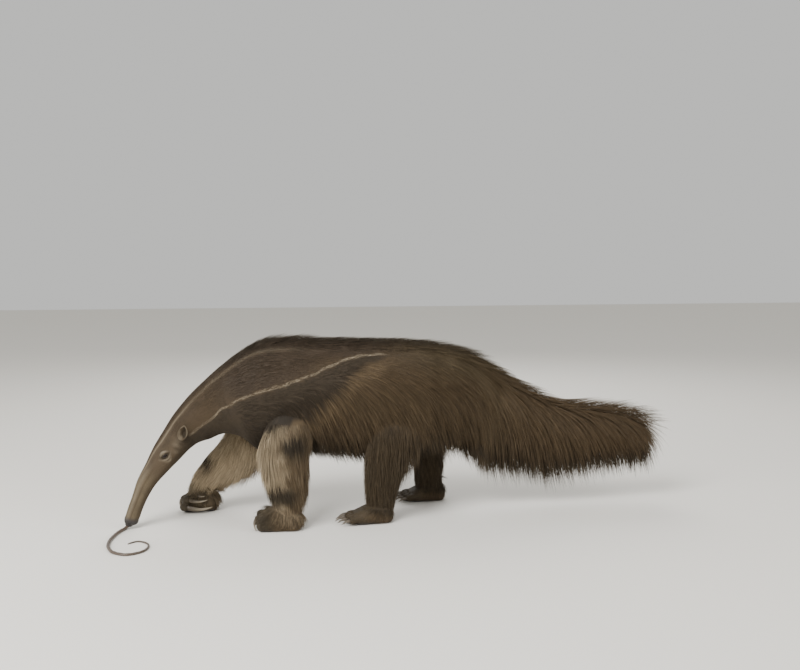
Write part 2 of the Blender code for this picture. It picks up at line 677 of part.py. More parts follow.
TAIL_COAT = (
    ("tail root", "tail 5", 9, 0, 0.135, 0.125, 0.056, 0.46, 1.0, 0.0, -0.05),  # ridge
    ("tail root", "tail 5", 6, 52, 0.150, 0.115, 0.078, 0.24, 0.6, 1.0, 0.60),  # upper side
    ("tail root", "tail 5", 7, 104, 0.195, 0.125, 0.070, 0.18, 0.35, 1.0, 0.90),  # lower side
    ("tail root", "tail 5", 7, 152, 0.190, 0.100, 0.062, 0.45, 0.3, 1.0, 1.10),  # fringe
    ("tail 5", "tail end", 2, 60, 0.090, 0.075, 0.042, 0.55, 1.0, 0.3, 0.40),  # tuft at the end
    ("tail 5", "tail end", 1, 120, 0.095, 0.080, 0.042, 0.55, 1.0, 0.6, 0.70),
)
HINDLEG_COAT = (
    ("thigh", "shank", 3, 178, 0.095, 0.060, 0.052, 0.30, 1.0, 0.2, 0.30),  # behind
    ("thigh", "knee", 3, 125, 0.105, 0.080, 0.056, 0.22, 1.0, 0.2, 0.30),
    ("low thigh", "shank", 1, 50, 0.085, 0.055, 0.052, 0.22, 1.0, 0.2, 0.30),
)
FORELEG_COAT = (
    ("upper arm", "low forearm", 4, 12, 0.085, 0.060, 0.046, 0.34, 1.0, 0.2, 0.30),  # in front
    ("upper arm", "forearm", 2, 64, 0.090, 0.070, 0.052, 0.24, 1.0, 0.2, 0.30),
    ("elbow", "low forearm", 3, 172, 0.065, 0.045, 0.044, 0.30, 1.0, 0.2, 0.30),  # behind
)


def lock(coat, root, normal, lie, length, width, lift, fall):
    """A flat lock: its root is sunk, it leaves along its lie and bends down as it tapers to a tip."""
    start = (lie + normal * lift).normalized()
    finish = (lie + normal * lift * 0.3 + Vector((0, 0, -fall))).normalized()
    spot = root + start * length * 0.02 - normal * LOCK_SINK
    bm = bmesh.new()
    rings = []
    for i, share in enumerate(LOCK_SHARES):
        aim = start.lerp(finish, share).normalized()
        if i:
            spot = spot + aim * length * (share - LOCK_SHARES[i - 1])
        if i == 1:
            spot = spot + normal * LOCK_SINK
        across = aim.cross(normal).normalized()
        out = across.cross(aim)
        if i == len(LOCK_WIDTHS):
            rings.append([bm.verts.new(spot)])
            break
        half = across * width * LOCK_WIDTHS[i] / 2
        deep = out * LOCK_THICKNESS * LOCK_DEPTHS[i]
        steps = (half - deep * 0.3, deep * 0.7, -half - deep * 0.3)
        rings.append([bm.verts.new(spot + step) for step in steps])
    for near, far in zip(rings, rings[1:]):
        for i in range(3):
            j = (i + 1) % 3
            if len(far) == 1:
                bm.faces.new((near[i], near[j], far[0]))
            else:
                bm.faces.new((near[i], near[j], far[j], far[i]))
    bm.faces.new(rings[0])
    return finish_mesh("lock", bm, coat)


def grow_coat(target, loft, rows, sides, draw):
    """Sets rows of locks on a node, on the given sides, and fuses them with it."""
    coat = target.data.materials[0].name
    locks = []
    for first, last, count, angle, near, far, width, lift, along, down, fall in rows:
        low, high = loft.t(first), loft.t(last)
        for side in sides if 0 < angle < 180 else sides[:1]:
            for i in range(count):
                share = (i + 0.5) / count
                t = low + (high - low) * (share + draw.uniform(-0.2, 0.2) / count)
                t = min(max(t, loft.at[0] + 0.012), loft.at[-1] - 0.004)
                turn = side * math.radians(angle + draw.uniform(-5, 5))
                root, normal = loft.surface(t, turn)
                ahead = (loft.surface(t + 0.003, turn)[0] - root).normalized()
                drop = Vector((0, 0, -1)) + normal * normal.z
                lie = (ahead * along + drop * down).normalized()
                length = (near + (far - near) * share) * draw.uniform(0.9, 1.1)
                broad = width * draw.uniform(0.9, 1.1)
                locks.append(lock(coat, root, normal, lie, length, broad, lift, fall))
    return boolean(target, locks, "UNION")


draw = random.Random(7)
neck_t, torso_t, tail_t = (body.t(name) for name in (NECK_START, TORSO_START, TAIL_START))
neck = loft_body("neck", body, neck_t + GAP / 2, torso_t - GAP / 2, 6, 22, "neck")
torso = loft_body("torso", body, torso_t + GAP / 2, tail_t - GAP / 2, 15, 22, "dark coat")
tail = loft_body("tail", body, tail_t + GAP / 2, body.at[-1], 13, 16, "dark coat")

LEGS = {  # stations, where the paw starts, colour, coat, and the side with the long coat
    "hindleg_left": (HINDLEG_LEFT, PAW_START_HIND, "dark coat", HINDLEG_COAT, 1),
    "hindleg_right": (HINDLEG_RIGHT, PAW_START_HIND, "dark coat", HINDLEG_COAT, -1),
    "foreleg_left": (FORELEG_LEFT, PAW_START_FORE, "pale coat", FORELEG_COAT, 1),
    "foreleg_right": (FORELEG_RIGHT, PAW_START_FORE, "pale coat", FORELEG_COAT, -1),
}
lofts = {name: Loft(rows) for name, (rows, *_) in LEGS.items()}
legs = []
for name, (_, paw_start, coat, _, _) in LEGS.items():
    leg = loft_body(name, lofts[name], 0, lofts[name].t(paw_start) - GAP / 2, 9, 14, coat)
    cut_clear(leg, torso, neck)
    legs.append(leg)
grow_coat(torso, body, TORSO_COAT, (1, -1), draw)
cut_clear(torso, neck, tail, *legs, by=LOCK_GROWTH)
for leg in legs:
    _, _, _, rows, side = LEGS[leg.name]
    grow_coat(leg, lofts[leg.name], rows, (side,), draw)
    cut_clear(leg, torso, by=LOCK_GROWTH)
grow_coat(tail, body, TAIL_COAT, (1, -1), draw)
cut_clear(tail, torso, *legs, by=LOCK_GROWTH)

make_foot("hindpaw_left", lofts["hindleg_left"], -0.172, -0.120, "left")
make_foot("hindpaw_right", lofts["hindleg_right"], 0.050, 0.120, "right")
make_hand("forepaw_left", lofts["foreleg_left"], -0.476, -0.152, 1, HAND_LENGTH, "left")
make_hand("forepaw_right", lofts["foreleg_right"], -0.712, 0.110, -1, HAND_LENGTH * 0.82, "right")


def centre_on_floor():
    """Moves every piece: the origin is then on the floor, in the middle of the animal's box."""
    corners = np.concatenate(
        [np.array([tuple(v.co) for v in made.data.vertices]) for made in PART.objects]
    )
    low, high = corners.min(0), corners.max(0)
    shift = Vector((-(low[0] + high[0]) / 2, -(low[1] + high[1]) / 2, -low[2]))
    for made in PART.objects:
        made.data.transform(Matrix.Translation(shift))


centre_on_floor()
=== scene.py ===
"""The looks of the giant anteater: one skin, eyes, claws, tongue and a coat of solid tufts."""

import math

import bpy
import numpy as np
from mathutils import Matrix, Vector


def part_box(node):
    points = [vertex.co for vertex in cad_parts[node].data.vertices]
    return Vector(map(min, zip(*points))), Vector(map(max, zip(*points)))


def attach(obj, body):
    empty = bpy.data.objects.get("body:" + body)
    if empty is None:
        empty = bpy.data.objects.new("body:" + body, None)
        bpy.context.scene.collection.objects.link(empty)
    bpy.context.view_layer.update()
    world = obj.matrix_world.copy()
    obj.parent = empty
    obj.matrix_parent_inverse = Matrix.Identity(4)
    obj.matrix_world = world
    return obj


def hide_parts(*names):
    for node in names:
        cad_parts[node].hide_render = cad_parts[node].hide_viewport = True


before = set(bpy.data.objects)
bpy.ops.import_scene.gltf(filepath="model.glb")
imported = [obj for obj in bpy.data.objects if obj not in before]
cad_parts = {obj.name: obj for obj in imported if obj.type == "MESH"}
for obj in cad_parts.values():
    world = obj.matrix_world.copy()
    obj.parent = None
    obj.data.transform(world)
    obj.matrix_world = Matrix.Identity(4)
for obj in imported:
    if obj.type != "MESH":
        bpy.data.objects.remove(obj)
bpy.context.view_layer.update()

# The trunk: head, neck, body and tail are one form, carried smoothly from the tip of the snout to
# the end of the tail. Each station gives its edge above (x, z), its edge below (x, z), how far
# its middle stands aside, its half width and how square it is, and last how deep the coat lies.
TRUNK = {
    "snout end": ((-0.874, 0.017), (-0.853, 0.009), -0.065, 0.0120, 2.2, 0.0004),
    "lips": ((-0.877, 0.026), (-0.842, 0.013), -0.065, 0.0170, 2.3, 0.0004),
    "nose": ((-0.872, 0.046), (-0.831, 0.031), -0.064, 0.0190, 2.3, 0.0005),
    "low snout": ((-0.865, 0.067), (-0.823, 0.053), -0.062, 0.0200, 2.2, 0.0006),
    "mid snout": ((-0.853, 0.099), (-0.809, 0.085), -0.060, 0.0220, 2.2, 0.0008),
    "high snout": ((-0.836, 0.149), (-0.782, 0.130), -0.056, 0.0255, 2.2, 0.0010),
    "face": ((-0.811, 0.199), (-0.744, 0.171), -0.050, 0.0320, 2.2, 0.0012),
    "eyes": ((-0.788, 0.248), (-0.708, 0.206), -0.045, 0.0400, 2.2, 0.0014),
    "ears": ((-0.757, 0.300), (-0.672, 0.240), -0.038, 0.0470, 2.1, 0.0020),
    "nape": ((-0.732, 0.341), (-0.648, 0.254), -0.032, 0.0520, 2.1, 0.0030),
    "high neck": ((-0.700, 0.383), (-0.617, 0.262), -0.026, 0.0600, 2.1, 0.0040),
    "mid neck": ((-0.654, 0.433), (-0.566, 0.276), -0.018, 0.0770, 2.1, 0.0055),
    "low neck": ((-0.601, 0.481), (-0.520, 0.262), -0.010, 0.0960, 2.1, 0.0070),
    "withers": ((-0.545, 0.523), (-0.485, 0.232), -0.004, 0.1180, 2.1, 0.0090),
    "shoulders": ((-0.470, 0.561), (-0.435, 0.215), 0.0, 0.1330, 2.1, 0.0100),
    "chest": ((-0.385, 0.575), (-0.360, 0.222), 0.0, 0.1400, 2.1, 0.0110),
    "ribs": ((-0.275, 0.571), (-0.270, 0.238), 0.0, 0.1450, 2.2, 0.0120),
    "belly": ((-0.148, 0.565), (-0.155, 0.238), 0.0, 0.1500, 2.2, 0.0120),
    "loin": ((-0.020, 0.559), (-0.040, 0.242), 0.0, 0.1480, 2.2, 0.0120),
    "hips": ((0.097, 0.548), (0.065, 0.255), 0.0, 0.1380, 2.2, 0.0130),
    "rump": ((0.190, 0.527), (0.150, 0.285), 0.0, 0.1150, 2.1, 0.0160),
    "tail root": ((0.262, 0.493), (0.220, 0.290), 0.0, 0.0860, 2.0, 0.0200),
    "high tail": ((0.312, 0.459), (0.275, 0.270), 0.0, 0.0640, 2.0, 0.0220),
    "tail 1": ((0.392, 0.413), (0.362, 0.245), 0.0, 0.0520, 2.0, 0.0230),
    "tail 2": ((0.493, 0.364), (0.482, 0.215), 0.0, 0.0460, 2.0, 0.0230),
    "tail 3": ((0.620, 0.338), (0.620, 0.210), 0.0, 0.0430, 2.0, 0.0220),
    "tail 4": ((0.735, 0.320), (0.741, 0.215), 0.0, 0.0380, 2.0, 0.0200),
    "tail 5": ((0.814, 0.295), (0.825, 0.215), 0.0, 0.0280, 2.0, 0.0140),
    "tail end": ((0.855, 0.268), (0.860, 0.230), 0.0, 0.0120, 2.0, 0.0050),
}
EYE_TURN, EYE_RADIUS, EYE_SET = math.radians(88), 0.0075, 0.45
SHORT_WAY, SHORT_TURN = 0.001, 0.01


def half_and_middle(rows):
    """For each station, half the way from its lower to its upper edge, and the point between."""
    return (rows[:, 0:2] - rows[:, 2:4]) / 2, (rows[:, 0:2] + rows[:, 2:4]) / 2


def slopes_at(rows, steps):
    """The slope at each row: the slopes of the steps on its two sides, shared out by length."""
    slope = np.diff(rows, axis=0) / steps[:, None]
    share = (steps[:-1] / (steps[:-1] + steps[1:]))[:, None]
    return np.vstack([slope[:1], slope[:-1] * (1 - share) + slope[1:] * share, slope[-1:]])


def form_of(stations, relief=None):
    """A form: the way along its middle line to each station, the stations and their slopes."""
    rows = np.array([[*up, *down, *rest] for up, down, *rest in stations.values()])
    steps = np.hypot(*np.diff(half_and_middle(rows)[1], axis=0).T)
    slopes = slopes_at(rows, steps)
    at = np.concatenate([[0.0], np.cumsum(steps)])
    across, travel = rows[0, 0:2] - rows[0, 2:4], slopes[0, 0:2] + slopes[0, 2:4]
    turned = np.sign(across[1] * travel[0] - across[0] * travel[1])
    return {"at": at, "rows": rows, "slopes": slopes, "relief": relief, "names": list(stations),
            "turned": turned}


def way_to(form, name):
    """The way along the form to a station."""
    return form["at"][form["names"].index(name)]


def station_at(form, t):
    """The station at each t: cubic Hermite curves between neighbouring stations."""
    at, rows, slopes = form["at"], form["rows"], form["slopes"]
    i = np.clip(np.searchsorted(at, t) - 1, 0, len(at) - 2)
    span = (at[i + 1] - at[i])[:, None]
    u = (t - at[i])[:, None] / span
    return (
        (1 + 2 * u) * (1 - u) ** 2 * rows[i]
        + u * (1 - u) ** 2 * span * slopes[i]
        + u * u * (3 - 2 * u) * rows[i + 1]
        + u * u * (u - 1) * span * slopes[i + 1]
    )


def form_point(form, t, turn):
    """Points of a superellipse at t: turn 0 is above or in front, a quarter turn is to the left."""
    row = station_at(form, t)
    c, s = np.cos(turn), np.sin(turn)
    reach = (abs(c) ** row[:, 6] + abs(s) ** row[:, 6]) ** (-1 / row[:, 6])
    if form["relief"]:
        reach = reach * (1 + form["relief"](t, turn))
    half, middle = half_and_middle(row)
    x, z = (middle + half * (c * reach)[:, None]).T
    return np.stack([x, row[:, 4] - row[:, 5] * s * reach, z], 1)


def unit(vectors):
    """The vectors made one metre long each."""
    return vectors / np.maximum(np.linalg.norm(vectors, axis=-1, keepdims=True), 1e-9)


def across_normal(vectors, normal):
    """What is left of the vectors without their share along the normal."""
    return vectors - normal * (vectors * normal).sum(-1, keepdims=True)


def steps_on(point_at, form, t, turn, *sunk):
    """Two short steps over a surface through each point: one ahead and one round the form."""
    ahead = point_at(form, t + SHORT_WAY, turn, *sunk) - point_at(form, t - SHORT_WAY, turn, *sunk)
    around = point_at(form, t, turn + SHORT_TURN, *sunk) - point_at(form, t, turn - SHORT_TURN, *sunk)
    return ahead, around


def sunk_point(form, t, turn, sunk):
    """A point of the form moved inwards by a share of the coat's depth."""
    ahead, around = steps_on(form_point, form, t, turn)
    normal = unit(np.cross(around, ahead)) * form["turned"]
    return form_point(form, t, turn) - normal * station_at(form, t)[:, 7:8] * sunk


def form_surface(form, t, turn, sunk=1.0):
    """The point on the sunk form, with that surface's outward normal and its way ahead."""
    ahead, around = steps_on(sunk_point, form, t, turn, sunk)
    ahead = unit(ahead)
    return sunk_point(form, t, turn, sunk), unit(np.cross(around, ahead)) * form["turned"], ahead


def from_crown(turn):
    """How far each turn is from the crown, on either side, from 0 to half a turn."""
    return np.abs((turn + math.pi) % (2 * math.pi) - math.pi)


def bell(value, reach, other=0.0, spread=1.0):
    """A bell curve over one value or two: 1 where they are 0, and falling off past their reach."""
    return np.exp(-((value / reach) ** 2) - (other / spread) ** 2)


def head_relief(t, turn):
    """Brow, cheek and bridge of the snout, each a smooth swelling, as shares of the radius."""
    degrees = np.degrees(from_crown(turn))
    raised = np.zeros_like(t)
    for along, around, reach, spread, height in HEAD_FORMS:
        raised += height * bell(t - along, reach, degrees - around, spread)
    return raised


trunk = form_of(TRUNK, head_relief)
eye_way = way_to(trunk, "eyes")
HEAD_FORMS = (  # way along, degrees from the crown, reach along, degrees around, height
    (eye_way - 0.004, 62, 0.018, 16, 0.05),
    (eye_way + 0.030, 105, 0.030, 26, 0.06),
    (way_to(trunk, "high snout"), 0, 0.070, 30, 0.03),
    (way_to(trunk, "lips"), 180, 0.010, 40, 0.06),
)
eye_place, eye_normal, eye_back = form_surface(
    trunk, np.full(2, eye_way), np.array([EYE_TURN, -EYE_TURN]), sunk=0.0
)
eye_centres = eye_place - eye_normal * EYE_RADIUS * EYE_SET
EYE_SLANT = np.array([[-0.60, 0, 0.80]])  # the way from the lower lid to the upper
eye_above = unit(across_normal(EYE_SLANT, eye_normal))
eye_corner = np.cross(eye_above, eye_normal)
SHIFT = (np.array(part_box("eye_left")[0]) + np.array(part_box("eye_left")[1])) / 2 - eye_centres[0]


# The legs: flesh under hide, as forms like the trunk that start inside it and end inside the paws.
# The near foreleg stands upright, the far one reaches forwards, and the near hindleg is set back.
LEGS = {
    "hindleg_left": {
        "hip": ((-0.085, 0.470), (0.130, 0.400), -0.070, 0.058, 2.1, 0.050),
        "thigh": ((-0.118, 0.375), (0.105, 0.322), -0.093, 0.068, 2.1, 0.034),
        "low thigh": ((-0.127, 0.287), (0.046, 0.238), -0.103, 0.064, 2.1, 0.014),
        "knee": ((-0.131, 0.205), (-0.008, 0.168), -0.111, 0.052, 2.1, 0.007),
        "shank": ((-0.130, 0.135), (-0.034, 0.115), -0.115, 0.043, 2.1, 0.005),
        "ankle": ((-0.128, 0.080), (-0.046, 0.071), -0.116, 0.038, 2.1, 0.003),
        "instep": ((-0.126, 0.045), (-0.048, 0.035), -0.117, 0.036, 2.1, 0.002),
    },
    "hindleg_right": {
        "hip": ((-0.030, 0.470), (0.155, 0.400), 0.070, 0.058, 2.1, 0.050),
        "thigh": ((-0.014, 0.375), (0.162, 0.330), 0.093, 0.068, 2.1, 0.034),
        "low thigh": ((0.022, 0.290), (0.172, 0.252), 0.105, 0.064, 2.1, 0.014),
        "knee": ((0.050, 0.205), (0.164, 0.182), 0.112, 0.051, 2.1, 0.007),
        "shank": ((0.069, 0.135), (0.158, 0.119), 0.116, 0.042, 2.1, 0.005),
        "ankle": ((0.075, 0.080), (0.158, 0.070), 0.117, 0.038, 2.1, 0.003),
        "instep": ((0.078, 0.045), (0.156, 0.035), 0.117, 0.036, 2.1, 0.002),
    },
    "foreleg_left": {
        "shoulder": ((-0.430, 0.430), (-0.270, 0.400), -0.075, 0.060, 2.1, 0.052),
        "upper arm": ((-0.455, 0.330), (-0.285, 0.320), -0.105, 0.068, 2.1, 0.020),
        "elbow": ((-0.466, 0.260), (-0.307, 0.245), -0.125, 0.066, 2.1, 0.010),
        "forearm": ((-0.458, 0.190), (-0.315, 0.180), -0.138, 0.060, 2.1, 0.008),
        "low forearm": ((-0.440, 0.130), (-0.322, 0.122), -0.146, 0.050, 2.1, 0.006),
        "wrist": ((-0.426, 0.085), (-0.334, 0.080), -0.150, 0.042, 2.1, 0.003),
        "hand": ((-0.424, 0.050), (-0.342, 0.045), -0.151, 0.038, 2.1, 0.002),
    },
    "foreleg_right": {
        "shoulder": ((-0.500, 0.380), (-0.370, 0.300), 0.075, 0.060, 2.1, 0.052),
        "upper arm": ((-0.545, 0.300), (-0.420, 0.190), 0.095, 0.064, 2.1, 0.018),
        "elbow": ((-0.585, 0.236), (-0.480, 0.130), 0.104, 0.062, 2.1, 0.010),
        "forearm": ((-0.628, 0.182), (-0.548, 0.098), 0.108, 0.056, 2.1, 0.008),
        "low forearm": ((-0.660, 0.135), (-0.592, 0.082), 0.110, 0.048, 2.1, 0.006),
        "wrist": ((-0.678, 0.095), (-0.610, 0.068), 0.110, 0.041, 2.1, 0.003),
        "hand": ((-0.684, 0.050), (-0.616, 0.040), 0.110, 0.038, 2.1, 0.002),
    },
}
legs = {name: form_of(stations) for name, stations in LEGS.items()}
PLANE_REACH = 0.012


def inside_form(form, points, slack=0.0):
    """True where a point lies inside a form's skin: in the ring whose plane is nearest to it."""
    t = np.linspace(0, form["at"][-1], 60 if form["at"][-1] < 1 else 260)  # a leg, or the trunk
    row = station_at(form, t)
    half, middle = half_and_middle(row)
    length = np.linalg.norm(half, axis=1)
    up = half / length[:, None]
    offset = points[:, None, [0, 2]] - middle[None]
    off_plane = np.abs(offset[..., 0] * -up[None, :, 1] + offset[..., 1] * up[None, :, 0])
    k = (off_plane + 0.1 * np.linalg.norm(offset, axis=2)).argmin(1)
    rows = np.arange(len(points))
    high = (offset[rows, k] * up[k]).sum(1) / (length[k] - row[k, 7] - slack)
    aside = (points[:, 1] - row[k, 4]) / (row[k, 5] - row[k, 7] - slack)
    near = off_plane[rows, k] < PLANE_REACH
    return near & (high**2 + aside**2 < 1)


# The markings, the same on skin and coat: a dark mantle, a white stripe from the throat to the
# back over a black-brown band, a tan edge to the flank, pale forelegs with a dark spot and cuff.
# With them go painted highlights and painted shade on the face's folds, snout and underside,
# and painted light and shade on the forelegs.
STRIPE_POINTS = (
    (-0.673, 0.288), (-0.631, 0.324), (-0.593, 0.351), (-0.551, 0.385),
    (-0.501, 0.413), (-0.443, 0.428), (-0.388, 0.442), (-0.330, 0.463), (-0.268, 0.487),
    (-0.221, 0.507), (-0.174, 0.521), (-0.126, 0.529), (-0.056, 0.529),
)
STRIPE_CORNERS, STRIPE_DEGREE = 64, 7
stripe_x = np.linspace(STRIPE_POINTS[0][0], STRIPE_POINTS[-1][0], STRIPE_CORNERS)
stripe_z = np.polyval(np.polyfit(*np.transpose(STRIPE_POINTS), STRIPE_DEGREE), stripe_x)
stripe_line = np.stack([stripe_x, stripe_z], 1)
STRIPE_WIDTHS = ((-0.70, -0.60, -0.35, -0.20, -0.05), (0.0023, 0.0036, 0.0046, 0.0041, 0.0016))
BAND_EDGE = (
    (-0.420, 0.240), (-0.359, 0.331), (-0.326, 0.343), (-0.292, 0.364), (-0.251, 0.394),
    (-0.217, 0.422), (-0.182, 0.461), (-0.134, 0.496), (-0.047, 0.520),
)
SNOUT_GREY, FACE_GREY = (0.098, 0.074, 0.044), (0.072, 0.051, 0.030)
NECK_BROWN, MANTLE, BACK = (0.051, 0.034, 0.018), (0.032, 0.021, 0.0115), (0.038, 0.025, 0.014)
STRIPE_WHITE, BAND_BLACK = (0.270, 0.222, 0.155), (0.030, 0.021, 0.012)
EDGE_TAN = (0.108, 0.074, 0.039)
FLANK, LOW_FLANK, BELLY_DARK = (0.063, 0.042, 0.021), (0.036, 0.025, 0.013), (0.020, 0.014, 0.007)
RUMP, TAIL_BROWN, TAIL_DARK = (0.064, 0.045, 0.022), (0.070, 0.046, 0.023), (0.034, 0.024, 0.013)
CREAM, FAWN, SPOT = (0.268, 0.210, 0.134), (0.096, 0.067, 0.037), (0.025, 0.018, 0.010)
PAW_FAWN, PAW_DARK = (0.078, 0.053, 0.028), (0.042, 0.032, 0.019)
# the second colour is a painted highlight on the folds round the eye
HEAD_PALE, EYE_FOLD_HIGHLIGHT = (0.175, 0.141, 0.096), (0.255, 0.210, 0.150)
TRUNK_SHADES = (
    ("snout end", PAW_DARK), ("lips", NECK_BROWN), ("nose", SNOUT_GREY), ("high snout", SNOUT_GREY),
    ("face", FACE_GREY), ("ears", FACE_GREY), ("nape", NECK_BROWN), ("mid neck", NECK_BROWN),
    ("withers", MANTLE), ("chest", BACK), ("belly", BACK), ("hips", RUMP), ("rump", RUMP),
    ("tail 1", TAIL_BROWN), ("tail end", TAIL_BROWN),
)
SNOUT_PAINTED_LIGHT = (  # a painted highlight along the snout's side and painted shade below it: radians from the crown, spread, colour, share
    (0.90, 0.24, HEAD_PALE, 0.55), (1.38, 0.10, NECK_BROWN, 0.60),
)
CHEEK_MARKS_AND_FOLD_PAINTED_LIGHT = (  # a dark cheek and throat, and pale folds behind the eye as painted highlights with painted shade in the creases between: way beyond the eye, radians from the crown, reach, spread, colour, share
    (0.036, 1.20, 0.020, 0.26, MANTLE, 0.55), (0.046, 1.72, 0.009, 0.26, HEAD_PALE, 0.60),
    (0.028, 1.98, 0.010, 0.22, HEAD_PALE, 0.45), (0.062, 1.66, 0.008, 0.22, HEAD_PALE, 0.55),
    (0.037, 1.88, 0.006, 0.30, MANTLE, 0.50), (0.055, 1.90, 0.006, 0.26, MANTLE, 0.50),
    (0.012, 2.35, 0.060, 0.22, NECK_BROWN, 0.55), (0.085, 1.95, 0.022, 0.40, BAND_BLACK, 0.55),
)
EYE_RING_AND_FOLD_PAINTED_LIGHT = (  # a dark ring round the eye, then its folds as painted highlights with painted shade in the creases between: how far above the eye, its half height, its half length, colour, share
    (0.0000, 0.0066, 0.0130, SPOT, 1.0), (0.0118, 0.0044, 0.0130, EYE_FOLD_HIGHLIGHT, 0.95),
    (0.0185, 0.0018, 0.0120, MANTLE, 0.55), (-0.0112, 0.0034, 0.0140, EYE_FOLD_HIGHLIGHT, 0.85),
    (-0.0165, 0.0014, 0.0130, MANTLE, 0.75), (-0.0212, 0.0036, 0.0120, HEAD_PALE, 0.75),
)
CROWN_LINE = (  # way from the eye, radians from the crown at which the pale line runs
    (-0.13, 0.34), (-0.05, 0.56), (0.03, 0.74), (0.12, 0.70), (0.20, 0.62), (0.32, 0.44),
)


def mix(one, two, share):
    """From one colour to another, by a share for each point."""
    share = np.clip(share, 0, 1)[:, None]
    return np.asarray(one) * (1 - share) + np.asarray(two) * share


def rise(value, low, high):
    """A smooth step from 0 at low to 1 at high."""
    u = np.clip((value - low) / (high - low), 0, 1)
    return u * u * (3 - 2 * u)


def ripple(points, size, seed=0.0):
    """A soft random value from sums of sines, about the given size across, from -1 to 1."""
    p = points * (2 * math.pi / size)
    wave = np.sin(p[:, 0] * 0.9 + 1.7 * np.sin(p[:, 2] * 0.63 + seed) + seed)
    wave += np.sin(p[:, 1] * 1.1 + 1.3 * np.sin(p[:, 0] * 0.57 - seed) + 2.1 * seed)
    wave += np.sin(p[:, 2] * 0.8 + 1.9 * np.sin(p[:, 1] * 0.71 + 2 * seed) - seed)
    return wave / 3


def to_line(x, z, line):
    """The distance from each point to a line through the given corners."""
    start, along = line[:-1], np.diff(line, axis=0)
    offset = np.stack([x, z], 1)[:, None] - start[None]
    share = np.clip((offset * along).sum(2) / (along**2).sum(1), 0, 1)
    return np.linalg.norm(offset - share[..., None] * along, axis=2).min(1)


def head_marks(colour, points, t, side):
    """The face: painted shade beneath, pale folds round the eye and on the cheek as painted highlights
    with painted shade in their creases, a painted highlight along the snout, a dark cheek and a pale
    line on the crown.
    """
    # painted shade: darker beneath the head
    colour = mix(colour, NECK_BROWN, 0.75 * rise(side, 1.8, 2.7) * rise(t, 0.03, 0.08))
    snout = 1 - rise(t, eye_way - 0.09, eye_way - 0.02)
    for around, spread, shade, share in SNOUT_PAINTED_LIGHT:
        colour = mix(colour, shade, share * snout * bell(side - around, spread))
    # painted shade on the snout's lower side
    colour = mix(colour, NECK_BROWN, 0.50 * snout * rise(side, 1.75, 2.3))
    for along, around, reach, spread, shade, share in CHEEK_MARKS_AND_FOLD_PAINTED_LIGHT:
        colour = mix(colour, shade, share * bell(t - eye_way - along, reach, side - around, spread))
    for place, above, corner in zip(eye_place, eye_above, eye_corner):
        off = points - place
        near = (off**2).sum(1) < 0.05**2
        long_way, high = off @ corner, off @ above
        # a dark ring, then painted highlights on the eye's folds and painted shade in their creases
        for up, half_height, half_length, shade, share in EYE_RING_AND_FOLD_PAINTED_LIGHT:
            bent = high - up * (1 - 0.35 * (long_way / half_length) ** 2)
            spot = np.exp(-((bent / half_height) ** 4) - (long_way / half_length) ** 2)
            colour = mix(colour, shade, share * spot * near)
    from_line = side - np.interp(t - eye_way, *np.array(CROWN_LINE).T)
    shown = rise(t, eye_way - 0.13, eye_way - 0.04) * (1 - rise(points[:, 0], -0.50, -0.26))
    colour = mix(colour, MANTLE, 0.75 * rise(from_line, -0.12, -0.22) * shown)
    colour = mix(colour, MANTLE, 0.35 * bell(from_line - 0.30, 0.14) * shown)
    bright = 0.85 - 0.40 * rise(t, eye_way + 0.06, eye_way + 0.16)
    return mix(colour, HEAD_PALE, bright * bell(from_line, 0.068) * shown)


def trunk_colours(points, t, turn):
    """The trunk's colour at each point, by its place along and seen from the side."""
    x = points[:, 0] + 0.005 * ripple(points, 0.06)
    z = points[:, 2] + 0.003 * ripple(points, 0.05, 2)
    side = from_crown(turn)
    ways = [way_to(trunk, name) for name, _ in TRUNK_SHADES]
    shades = np.array([shade for _, shade in TRUNK_SHADES])
    colour = np.stack([np.interp(t, ways, shades[:, k]) for k in range(3)], 1)
    colour = head_marks(colour, points, t, side)
    flank = rise(x, -0.36, -0.20) * rise(side, 0.55, 1.15) * (1 - rise(x, 0.20, 0.34))
    colour = mix(colour, FLANK, flank)
    low = rise(side, 1.65, 2.45) * rise(x, -0.52, -0.40) * (1 - rise(x, 0.18, 0.30))
    colour = mix(colour, LOW_FLANK, low)
    colour = mix(colour, BELLY_DARK, rise(side, 2.2, 2.9) * rise(x, -0.60, -0.45) * 0.9)
    colour = mix(colour, TAIL_DARK, rise(x, 0.20, 0.34) * rise(side, 1.1, 2.5))
    return mix(side_marks(colour, x, z, side), BELLY_DARK, crest_share(x, t, side))


def crest_share(x, t, side):
    """How far a point belongs to the dark crest on neck and back."""
    grown = rise(t, way_to(trunk, "high neck"), way_to(trunk, "withers"))
    ridge = (1 - rise(side, 0.12, 0.32)) * grown
    return 0.7 * ridge * (1 - rise(x, 0.1, 0.3))


def side_marks(colour, x, z, side):
    """Stripe, band and its tan edge, as they stand on the animal's side."""
    below = np.interp(x, stripe_x, stripe_z) - z
    above_edge = np.where(x < BAND_EDGE[0][0], 1.0, z - np.interp(x, *np.transpose(BAND_EDGE)))
    band = rise(below, -0.002, 0.006) * rise(above_edge, -0.004, 0.012)
    band *= rise(x, -0.735, -0.66) * (1 - rise(x, -0.08, -0.02))
    tan = bell(above_edge + 0.012, 0.022) * rise(x, -0.40, -0.34)
    colour = mix(colour, EDGE_TAN, tan * (1 - rise(x, -0.12, 0.0)) * (side < 2.2))
    colour = mix(colour, BAND_BLACK, band)
    off = to_line(x, z, stripe_line) / np.interp(x, *STRIPE_WIDTHS)
    white = np.exp(-(off**4)) * (1 - rise(x, -0.10, -0.035)) * rise(x, -0.690, -0.668)
    return mix(colour, STRIPE_WHITE, white * rise(side, 0.35, 0.6) * (side < 2.6))


